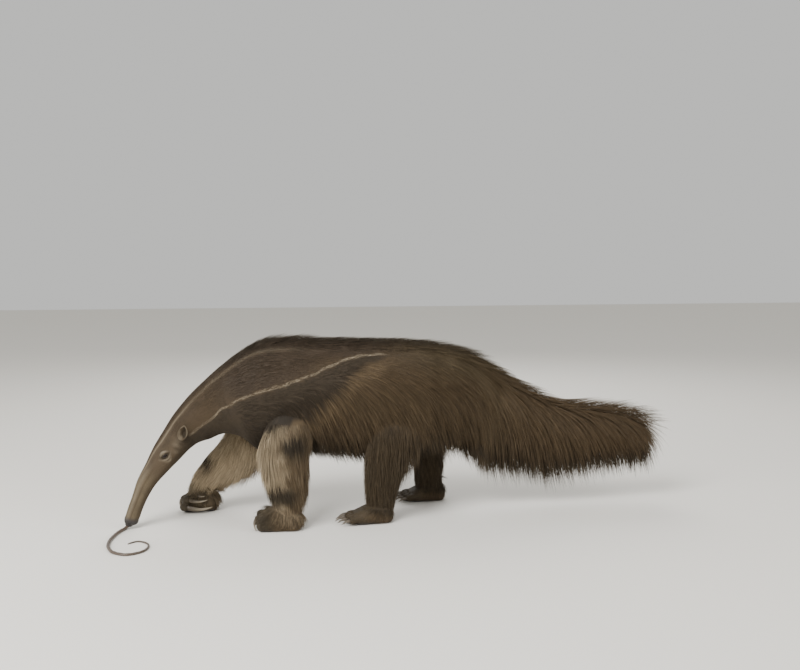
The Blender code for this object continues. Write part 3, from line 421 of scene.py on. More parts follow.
SHOULDER_LINE = (  # x, z of the line above which the near foreleg has the flank's colours, darkened as painted shade
    (-0.500, 0.228), (-0.481, 0.244), (-0.467, 0.268), (-0.450, 0.285),
    (-0.418, 0.303), (-0.383, 0.316), (-0.362, 0.318), (-0.325, 0.302),
)
NEAR_STEPS, SIDE_ON = (0.006, 0.014, 0.024, 0.038), 1.5  # metres; radians from the crown


def near_trunk(points):
    """How near a leg's points lie to the trunk's skin: 1 where it enters, 0 past the last step."""
    return sum(inside_form(trunk, points, -reach) for reach in NEAR_STEPS) / len(NEAR_STEPS)


def leg_colours(name, points, t, turn):
    """A leg's colour: the flank's above; cream to fawn below in front, with a spot and a cuff; painted
    light on the far foreleg's inner side and painted shade on the near foreleg's top.
    """
    form = legs[name]
    x, z = points[:, 0], points[:, 2] + 0.006 * ripple(points, 0.05)
    brown = mix(FLANK, LOW_FLANK, 0.4 + 0.5 * ripple(points, 0.11))
    body = side_marks(brown, x, z, np.full_like(x, SIDE_ON))
    if name.startswith("hind"):
        shank = np.array(LOW_FLANK) * 1.25
        body = mix(body, shank, 0.8 * rise(t, way_to(form, "thigh"), way_to(form, "knee")))
        return mix(body, np.array(FLANK) * (0.80, 0.76, 0.66), near_trunk(points))
    right = name.endswith("right")
    # the far foreleg is paler on its inner side: partly its own cream, partly painted light against
    # the body's shade
    front = (1 + np.cos(turn)) / 2 + (0.35 + 0.35 * np.sin(turn) if right else 0)
    pale = rise(front + 0.34 * ripple(points, 0.045), 0.30, 0.95)
    near = near_trunk(points) + 0.45 * ripple(points, 0.012, 5)
    colour = mix(FAWN, CREAM, pale * (1 - 0.6 * rise(near, 0.0, 0.6)))
    elbow, wrist = way_to(form, "elbow"), way_to(form, "wrist")
    if right:
        spot = bell(t - wrist + 0.072, 0.015, np.cos(turn) - 0.88, 0.28)
        # the far leg's cuff is weaker, as painted light against the body's shade
        cuff = 0.6 * rise(t, wrist - 0.014, wrist + 0.004)
    else:
        spot = bell(t - elbow + 0.012, 0.025, turn % (2 * math.pi) - 1.85, 0.48)
        cuff = rise(t, wrist - 0.062, wrist - 0.048) * (1 - rise(t, wrist - 0.012, wrist + 0.002))
    colour = mix(colour, SPOT, 1.7 * spot)
    colour = mix(colour, SPOT, 0.95 * cuff * rise(np.cos(turn), -0.8, 0.0))
    if right:
        # painted light: the far foreleg's inner side is brightened against the shade the body casts on
        # it
        colour = mix(colour, colour * 1.45, rise(np.sin(turn), 0.0, 0.7))
        colour = mix(colour, body, rise(z, 0.280, 0.320))
    else:
        line = np.interp(x, *np.transpose(SHOULDER_LINE))
        # painted shade: above the shoulder line the near foreleg has the flank's colours a fifth
        # darker, against the light its upturned top catches
        colour = mix(colour, body * 0.8, rise(z - line, -0.010, 0.012))
    return mix(colour, body, rise(near, 0.50, 0.95))


# Paws: a foot of five toes on a flat sole, and a hand that stands on its outer edge, its fingers
# folded in so that the great claws lie along the palm. Each is shaped as one piece of flesh.
FOOT_LENGTH, FOOT_WIDTH, FOOT_HEIGHT = 0.125, 0.092, 0.062
HAND_LENGTH, HAND_WIDTH, HAND_HEIGHT = 0.142, 0.074, 0.076
FOOT_PROFILE = (  # way from the heel, underside, top, width
    (0.00, 0.35, 0.60, 0.30), (0.08, 0.05, 0.90, 0.62), (0.30, 0.00, 1.05, 0.84),
    (0.55, 0.00, 0.95, 0.94), (0.80, 0.00, 0.74, 1.00), (1.00, 0.10, 0.55, 0.90),
)
HAND_PROFILE = (
    (0.00, 0.35, 0.60, 0.35), (0.10, 0.04, 0.86, 0.78), (0.35, 0.00, 1.02, 0.96),
    (0.62, 0.00, 0.98, 1.00), (0.82, 0.00, 0.80, 0.94), (0.95, 0.08, 0.58, 0.70),
    (1.00, 0.20, 0.44, 0.40),
)
FINGERS = (  # knuckle: back from the front, inward, height; finger radius, claw length and radius
    (0.040, 0.026, 0.058, 0.0105, 0.024, 0.0042),
    (0.014, 0.028, 0.045, 0.0130, 0.058, 0.0065),
    (0.008, 0.027, 0.0205, 0.0150, 0.080, 0.0085),
    (0.008, -0.014, 0.040, 0.0130, 0.040, 0.0060),
)
PAWS = {  # leg, place of its front edge, sideways place, inward side, length
    "hindpaw_left": ("hindleg_left", -0.172, -0.120, 1, FOOT_LENGTH),
    "hindpaw_right": ("hindleg_right", 0.050, 0.120, -1, FOOT_LENGTH),
    "forepaw_left": ("foreleg_left", -0.476, -0.152, 1, HAND_LENGTH),
    "forepaw_right": ("foreleg_right", -0.712, 0.110, -1, HAND_LENGTH * 0.82),
}
PAW_VOXEL, PAW_RINGS, PAW_SIDES, PAW_SQUARE, SHANK_RINGS = 0.0024, 40, 48, 2.3, 12
FINGER_RINGS, FINGER_SIDES = 9, 20
TOE_PLACE, TOE_LENGTH = (0.020, 0.022), 0.044  # back from the front and height; reach
TOE_RADII = ((0, 0.5, 0.8, 1), (0.0105, 0.0115, 0.0105, 0.0075))
TOE_CLAW_LENGTH, TOE_CLAW_RADIUS, TOE_CLAW_CURL = 0.034, 0.0055, (0, 0, -0.26)


def grid_faces(rows, columns):
    """The quads between rings of points: each point, the next on its ring, and those beyond them."""
    i, j = np.arange(rows - 1)[:, None], np.arange(columns)[None]
    k = (j + 1) % columns
    quads = [i * columns + j, i * columns + k, (i + 1) * columns + k, (i + 1) * columns + j]
    return np.stack(quads, -1).reshape(-1, 4)


def capped(points, rows, columns):
    """Rings of points with a fan of triangles over each end."""
    points = np.vstack([points, points[:columns].mean(0), points[-columns:].mean(0)])
    j = np.arange(columns)
    k = (j + 1) % columns
    last = (rows - 1) * columns
    first_cap = np.stack([j, np.full(columns, rows * columns), k], 1)
    last_cap = np.stack([last + k, np.full(columns, rows * columns + 1), last + j], 1)
    return points, [grid_faces(rows, columns), np.vstack([first_cap, last_cap])]


def mesh_of(name, points, faces, shift=True, smooth=True):
    """A mesh from arrays of points and of faces."""
    mesh = bpy.data.meshes.new(name)
    corners = np.concatenate([f.ravel() for f in faces]).astype(np.int32)
    sizes = np.concatenate([np.full(len(f), f.shape[1]) for f in faces])
    mesh.vertices.add(len(points))
    placed = points + SHIFT if shift else points
    mesh.vertices.foreach_set("co", placed.astype(np.float32).ravel())
    mesh.loops.add(len(corners))
    mesh.loops.foreach_set("vertex_index", corners)
    mesh.polygons.add(len(sizes))
    mesh.polygons.foreach_set("loop_start", (np.cumsum(sizes) - sizes).astype(np.int32))
    mesh.polygons.foreach_set("use_smooth", np.full(len(sizes), smooth))
    mesh.update(calc_edges=True)
    return mesh


def tube_points(path, radii, sides, flat=1.0, keel=0.0):
    """Rings across a path: round, squeezed sideways by flat and sharpened below by keel."""
    ahead = unit(np.gradient(path, axis=0))
    side = np.cross(ahead, (0.0, 0.0, 1.0))
    weak = np.linalg.norm(side, axis=1) < 0.05
    side = unit(np.where(weak[:, None], (0.0, 1.0, 0.0), side))
    up = np.cross(side, ahead)
    turn = 2 * math.pi * np.arange(sides) / sides
    wide, high = np.cos(turn) * flat, np.sin(turn)
    wide = wide * (1 - keel * np.clip(-high, 0, 1))
    ring = side[:, None] * wide[None, :, None] + up[:, None] * high[None, :, None]
    return (path[:, None] + ring * radii[:, None, None]).reshape(-1, 3)


def curve_through(points, count):
    """Points along a smooth line through a few given ones, evenly by the way along."""
    rows = np.array(points, float)
    steps = np.linalg.norm(np.diff(rows, axis=0), axis=1)
    at = np.concatenate([[0.0], np.cumsum(steps)])
    curve = {"at": at, "rows": rows, "slopes": slopes_at(rows, steps)}
    return station_at(curve, np.linspace(0, at[-1], count))


def ring_grid(ways, sides):
    """A value along and a turn for each point of a set of rings, ring by ring."""
    return np.repeat(ways, sides), np.tile(2 * math.pi * np.arange(sides) / sides, len(ways))


def loft_rings(form, start, end, rows, columns, sunk=0.0):
    """A stretch of a form as closed rings with capped ends, cut off flat at the floor."""
    points = sunk_point(form, *ring_grid(np.linspace(start, end, rows), columns), sunk)
    points[:, 2] = np.maximum(points[:, 2], 0.0)
    return turned_faces(form, *capped(points, rows, columns))


def turned_faces(form, points, faces):
    """The faces with their outer sides out, also where a form runs downwards or forwards."""
    return points, faces if form["turned"] > 0 else [f[:, ::-1] for f in faces]


def joined(parts):
    """Several sets of points and faces as one."""
    points, faces, start = [], [], 0
    for part_points, part_faces in parts:
        points.append(part_points)
        faces += [f + start for f in part_faces]
        start += len(part_points)
    return np.vstack(points), faces


def toes_of(name):
    """The paths and radii of a paw's toes or fingers, and the root, aim and size of each claw."""
    _, front, y, inner, _ = PAWS[name]
    tubes, claws = [], []
    share = np.linspace(0, 1, FINGER_RINGS)
    if name.startswith("hind"):
        for i in range(-2, 3):
            across = i / 2
            base = np.array([front + TOE_PLACE[0], y + across * FOOT_WIDTH * 0.36, TOE_PLACE[1]])
            end = base + (-TOE_LENGTH + 0.010 * across**2, across * 0.010, -0.006)
            path = curve_through([base, (base + end) / 2, end], FINGER_RINGS)
            tubes.append((path, np.interp(share, *TOE_RADII)))
            aim, claw_length = (-1, i * 0.08, -0.02), TOE_CLAW_LENGTH - 0.003 * abs(i)
            claws.append((end, aim, claw_length, TOE_CLAW_RADIUS, TOE_CLAW_CURL))
        return tubes, claws
    for i, (back, inward, height, radius, claw_length, claw_radius) in enumerate(FINGERS):
        knuckle = np.array([front + back, y + inner * inward, height])
        folded = i < 3
        if folded:
            start, end = knuckle + (0.030, -inner * 0.020, 0), knuckle + (0.014, inner * 0.013, 0)
            aim, curl = (1, inner * 0.25, -0.02), (0, -inner * 0.30, 0)
        else:
            start, end = knuckle + (0.030, 0, 0.004), knuckle + (-0.009, inner * 0.003, -0.004)
            aim, curl = (-0.42, -inner * 0.10, -0.80), (0.50, 0, 0.05)
        radii = np.interp(share, (0, 0.5, 1), (radius, radius, radius * 0.72))
        tubes.append((curve_through([start, knuckle, end], FINGER_RINGS), radii))
        claws.append((end, aim, claw_length, claw_radius, curl))
    return tubes, claws


def new_object(name, data):
    """An object that shows the data, linked into the scene."""
    made = bpy.data.objects.new(name, data)
    bpy.context.scene.collection.objects.link(made)
    return made


def paw_flesh(name):
    """A paw's lofts and toes, fused by a voxel remesh into quads, smoothed and set flat below."""
    leg, front, y, inner, length = PAWS[name]
    hind = name.startswith("hind")
    width, height = (FOOT_WIDTH, FOOT_HEIGHT) if hind else (HAND_WIDTH, HAND_HEIGHT)
    rows = {
        str(way): (
            (front + length * (1 - way), high * height),
            (front + length * (1 - way), low * height - 0.006),
            y if hind else y - inner * 0.004,
            wide * width / 2,
            PAW_SQUARE,
            0.0,
        )
        for way, low, high, wide in (FOOT_PROFILE if hind else HAND_PROFILE)
    }
    foot = form_of(rows)
    parts = [loft_rings(foot, 0, foot["at"][-1], PAW_RINGS, PAW_SIDES)]
    shank = legs[leg]
    start, end = way_to(shank, "ankle" if hind else "wrist") - 0.012, shank["at"][-1] - 0.002
    parts.append(loft_rings(shank, start, end, SHANK_RINGS, PAW_SIDES, sunk=1.3))
    for path, radii in toes_of(name)[0]:
        parts.append(capped(tube_points(path, radii, FINGER_SIDES), len(path), FINGER_SIDES))
    work = new_object(name + "_work", mesh_of(name + "_work", *joined(parts), shift=False))
    remesh = work.modifiers.new("fuse", "REMESH")
    remesh.mode = "VOXEL"
    remesh.voxel_size = PAW_VOXEL
    smooth = work.modifiers.new("smooth", "SMOOTH")
    smooth.iterations = 4
    smooth.factor = 0.5
    done = bpy.data.meshes.new_from_object(work.evaluated_get(bpy.context.evaluated_depsgraph_get()))
    points = np.zeros(len(done.vertices) * 3)
    done.vertices.foreach_get("co", points)
    points = points.reshape(-1, 3)
    corners = np.zeros(len(done.loops), np.int32)
    done.loops.foreach_get("vertex_index", corners)
    bpy.data.objects.remove(work)
    points[:, 2] = np.maximum(points[:, 2], 0.0)
    return points, [corners.reshape(-1, 4)]


def paw_colours(name, points):
    """Fawn, browner towards a hind ankle, dark in front, underneath and inside a folded hand."""
    _, front, y, inner, length = PAWS[name]
    ahead = rise(front + length * 0.42 - points[:, 0] + 0.008 * ripple(points, 0.03), -0.02, 0.03)
    under = 1 - rise(points[:, 2], 0.004, 0.016)
    if name.startswith("hind"):
        high = rise(points[:, 2] + 0.01 * ripple(points, 0.04), 0.028, 0.050)
        colour = mix(mix(PAW_FAWN, LOW_FLANK, high), PAW_DARK, 0.7 * ahead)
        return mix(colour, PAW_DARK, under)
    patch = 0.5 + 0.5 * ripple(points, 0.035, 7)
    colour = mix(PAW_FAWN, CREAM, 0.10 + 0.25 * patch * rise(points[:, 2], 0.02, 0.07))
    inward = rise(inner * (points[:, 1] - y), 0.006, 0.026)
    # painted light: the far hand's fold is less dark, against the shade the body casts on it
    inward = inward * (0.9 if name.endswith("left") else 0.55)
    return mix(colour, PAW_DARK, np.maximum(np.maximum(ahead, under), inward))


# The skin: a close hide over the whole animal, seen bare on nose, lips, lids and pads and through
# the short hair of the face. One mesh holds the trunk, legs, paws, ears and lids.
HEAD_RINGS, BODY_RINGS, SIDES = 190, 84, 142
LEG_RINGS, LEG_SIDES = 40, 48
TIP_RINGS, TIP_DOME, CREASE_DEPTH, CREASE_GAP = 14, 0.0085, 0.00025, 0.0052
MOUTH_DEPTH, MOUTH_WIDTH, MOUTH_LENGTH, LIP_HEIGHT, LIP_WIDTH = 0.0016, 0.0008, 0.024, 0.0005, 0.0035
EXIT_DEPTH, EXIT_RADIUS = 0.004, 0.005  # the hollow that the tongue comes out of
NOSTRIL_TURN, NOSTRIL_DEPTH, NOSTRIL_RIM = math.radians(38), 0.0040, 0.0008
NOSTRIL_LENGTH, NOSTRIL_WIDTH = 0.0046, 0.0020
SOCKET_RADIUS, SOCKET_DEPTH = 0.0086, 0.0030
LEG_PAINTED_SHADE, EAR_SHADE = 0.5, 0.3  # a leg's skin by the trunk is darker, as painted shade in the gaps of its coat; an ear's back is browner
SNOUT_FRONT = (-0.45, 0, 0.20)  # the way from the lips up the front of the snout
LID_LENGTH, LID_HEIGHT, LID_OUTER = 0.0066, 0.0040, (0.0200, 0.0165)
LID_PAD, LID_FOLD, LID_SINK, LID_EDGE = 0.0018, 0.0006, 0.0014, 0.0006
LID_RINGS, LID_SIDES, GLOBE_SLACK = 30, 72, 1.025
EAR_HEIGHT, EAR_WIDTH, EAR_DEPTH, EAR_WALL, EAR_BASE = 0.053, 0.028, 0.012, 0.0018, 0.012
EAR_TURN, EAR_FOLD, EAR_ROLL, EAR_DIP = math.radians(94), 0.0016, 0.0004, 0.004
EAR_RINGS, EAR_SIDES = 22, 56


TRUNK_BREADTH, LEG_BREADTH = 0.12, 0.1


def round_lie(t, turn, breadth):
    """Where the streaks of a form's hair lie: the way along it, and a half circle round it."""
    return np.stack([t, np.sin(turn / 2) * breadth, np.cos(turn / 2) * breadth], 1)


def facing_out(points, faces, columns, way):
    """The faces, turned over if the first of them looks against the way given."""
    looks = np.cross(points[1] - points[0], points[columns] - points[0])
    return [f[:, ::-1] for f in faces] if (looks * way).sum() < 0 else faces


def eye_gap(points):
    """How far each point is from the nearer eye."""
    return np.sqrt(((points[:, None] - eye_place[None]) ** 2).sum(2).min(1))


def trunk_skin():
    """The trunk's grid, sunk by the coat's depth, with a domed tip, mouth, lips and nostrils."""
    neck, share = way_to(trunk, "nape"), np.linspace(0, 1, HEAD_RINGS)
    head_ways = neck * (0.35 * share + 0.65 * share**1.6)
    ways = np.concatenate([head_ways, np.linspace(neck, trunk["at"][-1], BODY_RINGS + 1)[1:]])
    t, turn = ring_grid(ways, SIDES)
    points, normals, _ = form_surface(trunk, np.clip(t, 0.0009, None), turn)
    tip = points[:SIDES].mean(0)
    inward = unit(points[SIDES * 4 : SIDES * 5].mean(0) - tip)
    lean = np.repeat(np.linspace(0, math.pi / 2, TIP_RINGS + 1)[:0:-1], SIDES)
    edge = np.tile(points[:SIDES] - tip, (TIP_RINGS, 1))
    dome = tip + edge * np.cos(lean)[:, None] ** 0.9 - inward * TIP_DOME * np.sin(lean)[:, None]
    dome_normal = unit(edge * np.cos(lean)[:, None] - inward * 0.02 * np.sin(lean)[:, None])
    points, normals = np.vstack([dome, points]), np.vstack([dome_normal, normals])
    t, turn = np.concatenate([0 * lean, t]), np.concatenate([np.tile(turn[:SIDES], TIP_RINGS), turn])
    up = unit(across_normal(SNOUT_FRONT, inward))
    level = (points - tip) @ up + 0.0015
    front = 1 - rise(t, MOUTH_LENGTH * 0.8, MOUTH_LENGTH)
    carve = LIP_HEIGHT * bell(level, LIP_WIDTH) * front
    carve -= MOUTH_DEPTH * bell(level, MOUTH_WIDTH) * front
    exit_gap = np.linalg.norm(points - (tip - inward * TIP_DOME), axis=1)
    carve -= EXIT_DEPTH * bell(exit_gap, EXIT_RADIUS)
    nostril_way = np.array([way_to(trunk, "lips") - 0.002])
    for side in (1, -1):
        off = points - form_point(trunk, nostril_way, np.array([side * NOSTRIL_TURN]))
        long_way = off @ unit(inward + 0.5 * up)
        wide_way = ((off**2).sum(1) - long_way**2).clip(0)
        gap = np.sqrt((long_way / NOSTRIL_LENGTH) ** 2 + wide_way / NOSTRIL_WIDTH**2)
        carve -= NOSTRIL_DEPTH * np.exp(-(gap**3))
        carve += NOSTRIL_RIM * bell(gap - 1.7, 0.5)
    carve -= SOCKET_DEPTH * np.exp(-((eye_gap(points) / SOCKET_RADIUS) ** 6))
    creases = CREASE_DEPTH * np.sin(t * 2 * math.pi / CREASE_GAP + 1.5 * np.sin(turn * 2))
    creases = creases * rise(t, 0.012, 0.02) * (1 - rise(t, 0.035, 0.05))
    carve += creases * rise(np.abs(np.sin(turn)), 0.2, 0.9)
    points, faces = capped(points + normals * carve[:, None], TIP_RINGS + len(ways), SIDES)
    t, turn = np.append(t, (0, t[-1])), np.append(turn, (0, 0))
    bare = 1 - rise(t + 0.003 * np.cos(turn), 0.014, 0.030)
    colours = trunk_colours(points, t, turn)
    # painted shade: behind the head the skin is no lighter than the neck's brown, so the gaps in the
    # coat read as shadow
    colours = mix(colours, np.minimum(colours, NECK_BROWN), rise(points[:, 0], -0.71, -0.64))
    return points, faces, colours, round_lie(t, turn, TRUNK_BREADTH), bare


def leg_skin(name):
    """A leg's grid, sunk by the coat's depth, with painted shade on its skin by the trunk."""
    form = legs[name]
    t, turn = ring_grid(np.linspace(0.001, form["at"][-1] - 0.006, LEG_RINGS), LEG_SIDES)
    points = form_surface(form, t, turn)[0]
    colours = leg_colours(name, points, t, turn)
    # painted shade: the skin is darkened where the leg enters the trunk, so the gaps in its coat read
    # as shadow
    colours = mix(colours, colours * LEG_PAINTED_SHADE, near_trunk(points))
    points, faces = turned_faces(form, *capped(points, LEG_RINGS, LEG_SIDES))
    colours = np.vstack([colours, colours[:1], colours[-1:]])
    t, turn = np.append(t, (0, t[-1])), np.append(turn, (0, 0))
    return points, faces, colours, round_lie(t, turn, LEG_BREADTH), np.zeros(len(points))


def paw_skin(name):
    """A paw's flesh with its colours; its underside is bare."""
    points, faces = paws[name]
    bare = 1 - rise(points[:, 2], 0.003, 0.012)
    return points, faces, paw_colours(name, points), points, bare


def lid_skin(number):
    """The lids of one eye: rings from the almond of the rim out under the face, with folds.

    Each point stands as high over the face as the globe needs, plus the pad, folds and creases.
    """
    centre, way = eye_centres[number], np.full(1, eye_way)
    turn_here = EYE_TURN if number == 0 else -EYE_TURN
    place, normal, ahead = form_surface(trunk, way, np.full(1, turn_here), 0.0)
    about = form_point(trunk, way, np.full(1, turn_here + 2 * SHORT_TURN)) - place
    about = about / (2 * SHORT_TURN)
    crown, corner = eye_above[number : number + 1], eye_corner[number : number + 1]
    r, angle = ring_grid(np.linspace(0, 1, LID_RINGS), LID_SIDES)
    rim_x = LID_LENGTH * np.cos(angle)
    rim_y = LID_HEIGHT * np.sin(angle) * (0.75 + 0.25 * np.sin(angle) ** 2)
    x = rim_x * (1 - r) + LID_OUTER[0] * np.cos(angle) * r
    y = rim_y * (1 - r) + LID_OUTER[1] * np.sin(angle) * r
    off = corner * x[:, None] + crown * y[:, None]
    t = eye_way + (off * ahead).sum(1)
    girth = np.linalg.norm(about)
    turn = turn_here + (off * about).sum(1) / girth**2
    base, out, _ = form_surface(trunk, t, turn, 0.0)
    gap = base - centre
    along = (gap * out).sum(1)
    within = along**2 - (gap**2).sum(1) + (EYE_RADIUS * GLOBE_SLACK) ** 2
    on_globe = -along + np.sqrt(np.clip(within, 1e-9, None))
    share = rise(r, 0.04, 0.66)
    high = on_globe * (1 - share) - LID_SINK * rise(r, 0.20, 0.66) - LID_EDGE * rise(r, 0.66, 1.0)
    upper = 0.5 + 0.5 * np.sin(angle)
    high = high + LID_PAD * np.sin(math.pi * np.clip(r / 0.28, 0, 1)) ** 0.7
    for where, deep, breadth, weight in (
        (0.33, 0.0011, 0.045, 1.0), (0.50, 0.0006, 0.04, upper), (0.48, 0.0007, 0.04, 1 - upper),
    ):
        high = high - deep * bell(r - where, breadth) * weight
    high = high + LID_FOLD * bell(r - 0.42, 0.05)
    high = np.where(within > 1e-7, np.maximum(high, on_globe + 0.0003 * rise(r, 0.0, 0.1)), high)
    points = base + out * high[:, None]
    colours = mix(BAND_BLACK, trunk_colours(base, t, turn), rise(r, 0.04, 0.20))
    faces = facing_out(points, [grid_faces(LID_RINGS, LID_SIDES)], LID_SIDES, normal)
    return points, faces, colours, round_lie(t, turn, TRUNK_BREADTH), 1 - rise(r, 0.04, 0.16)


def ear_skin(side):
    """An ear: an oval bowl between its middle at the head and a rim that stands off, with a wall.

    Each point lies a share of the way from the middle to the rim, and stands off by its square.
    """
    way = (way_to(trunk, "ears") + way_to(trunk, "nape")) / 2 + 0.004
    root, normal, _ = form_surface(trunk, np.array([way]), np.array([side * EAR_TURN]), 0.0)
    root, normal = root[0], normal[0]
    up = unit(np.array([0.16, 0, 1.0]) + normal * 0.34)
    ahead = unit(across_normal((-1.0, 0, 0.25), up))
    off = np.cross(up, ahead)
    off = off * np.sign(np.dot(off, normal))
    rows, columns = EAR_RINGS, EAR_SIDES
    share, turn = ring_grid(np.linspace(0.04, 1, rows), columns)
    c, s = np.cos(turn), np.sin(turn)
    rim_up = EAR_HEIGHT * (0.46 + 0.50 * s) - 0.006
    point = np.abs(c) ** (0.45 * rise(s, -0.2, 1.0))
    rim_ahead = EAR_WIDTH / 2 * c * point * (1 - 0.10 * s) - 0.003 * s
    rim_off = EAR_DEPTH * (0.66 - 0.48 * c + 0.16 * s)
    bowl = rim_off * share**2.2 - EAR_DIP * (1 - share)
    fold = EAR_FOLD * bell(share - 0.62, 0.10) * rise(c, -0.2, 0.9)
    middle = root + up * (EAR_BASE + (rim_up - EAR_BASE) * share)[:, None]
    middle = middle + ahead * (rim_ahead * share)[:, None] + off * (bowl + fold)[:, None]
    flat = middle.reshape(rows, columns, 3)
    round_it = np.roll(flat, -1, axis=1) - np.roll(flat, 1, axis=1)
    out = unit(np.cross(np.gradient(flat, axis=0), round_it)).reshape(-1, 3)
    out = out * np.sign(out @ off + 1e-9)[:, None]
    roll = EAR_ROLL * bell(share - 0.97, 0.05)
    thin = np.sqrt(np.clip(1 - ((share - 0.80) / 0.205).clip(0) ** 4, 0.01, 1))
    wall = (EAR_WALL / 2 * thin + roll)[:, None]
    outer = (middle - out * wall).reshape(rows, columns, 3)
    rings = np.vstack([middle + out * wall, outer[::-1].reshape(-1, 3)])
    points, faces = capped(rings, 2 * rows, columns)
    faces = facing_out(points, faces, columns, off)
    deep = mix(SPOT, FACE_GREY, rise(share + 0.50 * c - 0.15 * s, 0.42, 0.80))
    deep = mix(deep, HEAD_PALE, 0.7 * rise(c - s, 0.3, 1.1) * rise(share, 0.2, 0.6))
    rim = 0.9 * rise(s - 0.45 * c, -0.35, 0.55)
    deep = mix(deep, HEAD_PALE, rise(share, 0.86, 0.97) * rim)
    back = mix(FACE_GREY, NECK_BROWN, np.full_like(share, EAR_SHADE))
    back = mix(back, HEAD_PALE, rise(share, 0.88, 0.98) * rim)
    back = back.reshape(rows, columns, 3)[::-1].reshape(-1, 3)
    colours = np.vstack([deep, back, deep[:1], back[-1:]])
    lie = np.stack([share * 0.03, s * 0.02, c * 0.02], 1)
    lie = np.vstack([lie, lie.reshape(rows, columns, 3)[::-1].reshape(-1, 3) + 0.1, lie[:2]])
    return points, faces, colours, lie, np.zeros(len(points))


def store(mesh, **values):
    """Stores values for each vertex on a mesh: markings, painted light and shade among them, as
    colours, others as vectors or numbers.
    """
    for name, rows in values.items():
        kind, key = ("FLOAT", "value") if rows.ndim == 1 else ("FLOAT_VECTOR", "vector")
        if name == "marking":
            kind, key, rows = "FLOAT_COLOR", "color", np.hstack([rows, np.ones((len(rows), 1))])
        made = mesh.attributes.new(name, kind, "POINT")
        made.data.foreach_set(key, np.ascontiguousarray(rows, np.float32).ravel())


def add_piece(name, mesh, material, slot, *nodes):
    """A piece of the animal, riding on its one body, in place of the solids named."""
    made = new_object(name, mesh)
    mesh.materials.append(material)
    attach(made, "root")
    if nodes:
        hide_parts(*nodes)


def streaks_group():
    """Fine streaks along a lie: stretched noise as a value from 0 to 1, and a slower patchiness."""
    group = bpy.data.node_groups.new("hair streaks", "ShaderNodeTree")
    for name, kind, value in (
        ("Lie", "NodeSocketVector", None), ("Along", "NodeSocketFloat", 30.0),
        ("Across", "NodeSocketFloat", 700.0), ("Patches", "NodeSocketFloat", 18.0),
    ):
        socket = group.interface.new_socket(name, in_out="INPUT", socket_type=kind)
        if value:
            socket.default_value = value
    for name in ("Streak", "Patch"):
        group.interface.new_socket(name, in_out="OUTPUT", socket_type="NodeSocketFloat")
    nodes, links = group.nodes, group.links
    into, out = nodes.new("NodeGroupInput"), nodes.new("NodeGroupOutput")
    stretch = nodes.new("ShaderNodeCombineXYZ")
    links.new(into.outputs["Along"], stretch.inputs[0])
    links.new(into.outputs["Across"], stretch.inputs[1])
    links.new(into.outputs["Across"], stretch.inputs[2])
    scaled = nodes.new("ShaderNodeVectorMath")
    scaled.operation = "MULTIPLY"
    links.new(into.outputs["Lie"], scaled.inputs[0])
    links.new(stretch.outputs[0], scaled.inputs[1])
    for source, detail, name in (
        (scaled.outputs[0], 4.0, "Streak"), (into.outputs["Lie"], 2.0, "Patch"),
    ):
        noise = nodes.new("ShaderNodeTexNoise")
        noise.inputs["Scale"].default_value = 1.0
        noise.inputs["Detail"].default_value = detail
        noise.inputs["Roughness"].default_value = 0.6
        links.new(source, noise.inputs["Vector"])
        if name == "Patch":
            links.new(into.outputs["Patches"], noise.inputs["Scale"])
        spread = nodes.new("ShaderNodeMapRange")
        spread.inputs["From Min"].default_value = 0.3
        spread.inputs["From Max"].default_value = 0.7
        links.new(noise.outputs["Fac"], spread.inputs["Value"])
        links.new(spread.outputs["Result"], out.inputs[name])
    return group


STREAKS = streaks_group()


def blend_node(tree, mode, share, one, two):
    """A colour mix of two sockets or colours."""
    node = tree.nodes.new("ShaderNodeMix")
    node.data_type = "RGBA"
    node.blend_type = mode
    for value, socket in ((share, node.inputs[0]), (one, node.inputs[6]), (two, node.inputs[7])):
        if isinstance(value, bpy.types.NodeSocket):
            tree.links.new(value, socket)
        else:
            socket.default_value = value
    return node.outputs[2]


def ranged(tree, value, low, high):
    """A value from 0 to 1, spread from low to high."""
    node = tree.nodes.new("ShaderNodeMapRange")
    node.inputs["To Min"].default_value = low
    node.inputs["To Max"].default_value = high
    tree.links.new(value, node.inputs["Value"])
    return node.outputs["Result"]


def new_material(name):
    """A material, with its node tree and its one shader."""
    made = bpy.data.materials.new(name)
    made.use_nodes = True
    return made, made.node_tree, made.node_tree.nodes["Principled BSDF"]


def stored(tree, name):
    """The outputs of a node that reads an attribute of the mesh."""
    node = tree.nodes.new("ShaderNodeAttribute")
    node.attribute_name = name
    return node.outputs


def streaked(tree, shader, lie_name, sizes, tone, depth, strength):
    """The markings times fine streaks, which raise the surface too: colour, streaks and patches.

    The sizes are how closely streaks change along and across the lie, and patches over it.
    """
    streaks = tree.nodes.new("ShaderNodeGroup")
    streaks.node_tree = STREAKS
    for size, socket in zip(sizes, ("Along", "Across", "Patches")):
        streaks.inputs[socket].default_value = size
    tree.links.new(stored(tree, lie_name)["Vector"], streaks.inputs["Lie"])
    streak = streaks.outputs["Streak"]
    fine = ranged(tree, streak, *tone)
    bump = tree.nodes.new("ShaderNodeBump")
    bump.inputs["Distance"].default_value = depth
    bump.inputs["Strength"].default_value = strength
    tree.links.new(streak, bump.inputs["Height"])
    tree.links.new(bump.outputs["Normal"], shader.inputs["Normal"])
    colour = blend_node(tree, "MULTIPLY", 1.0, stored(tree, "marking")["Color"], fine)
    return colour, streak, streaks.outputs["Patch"]


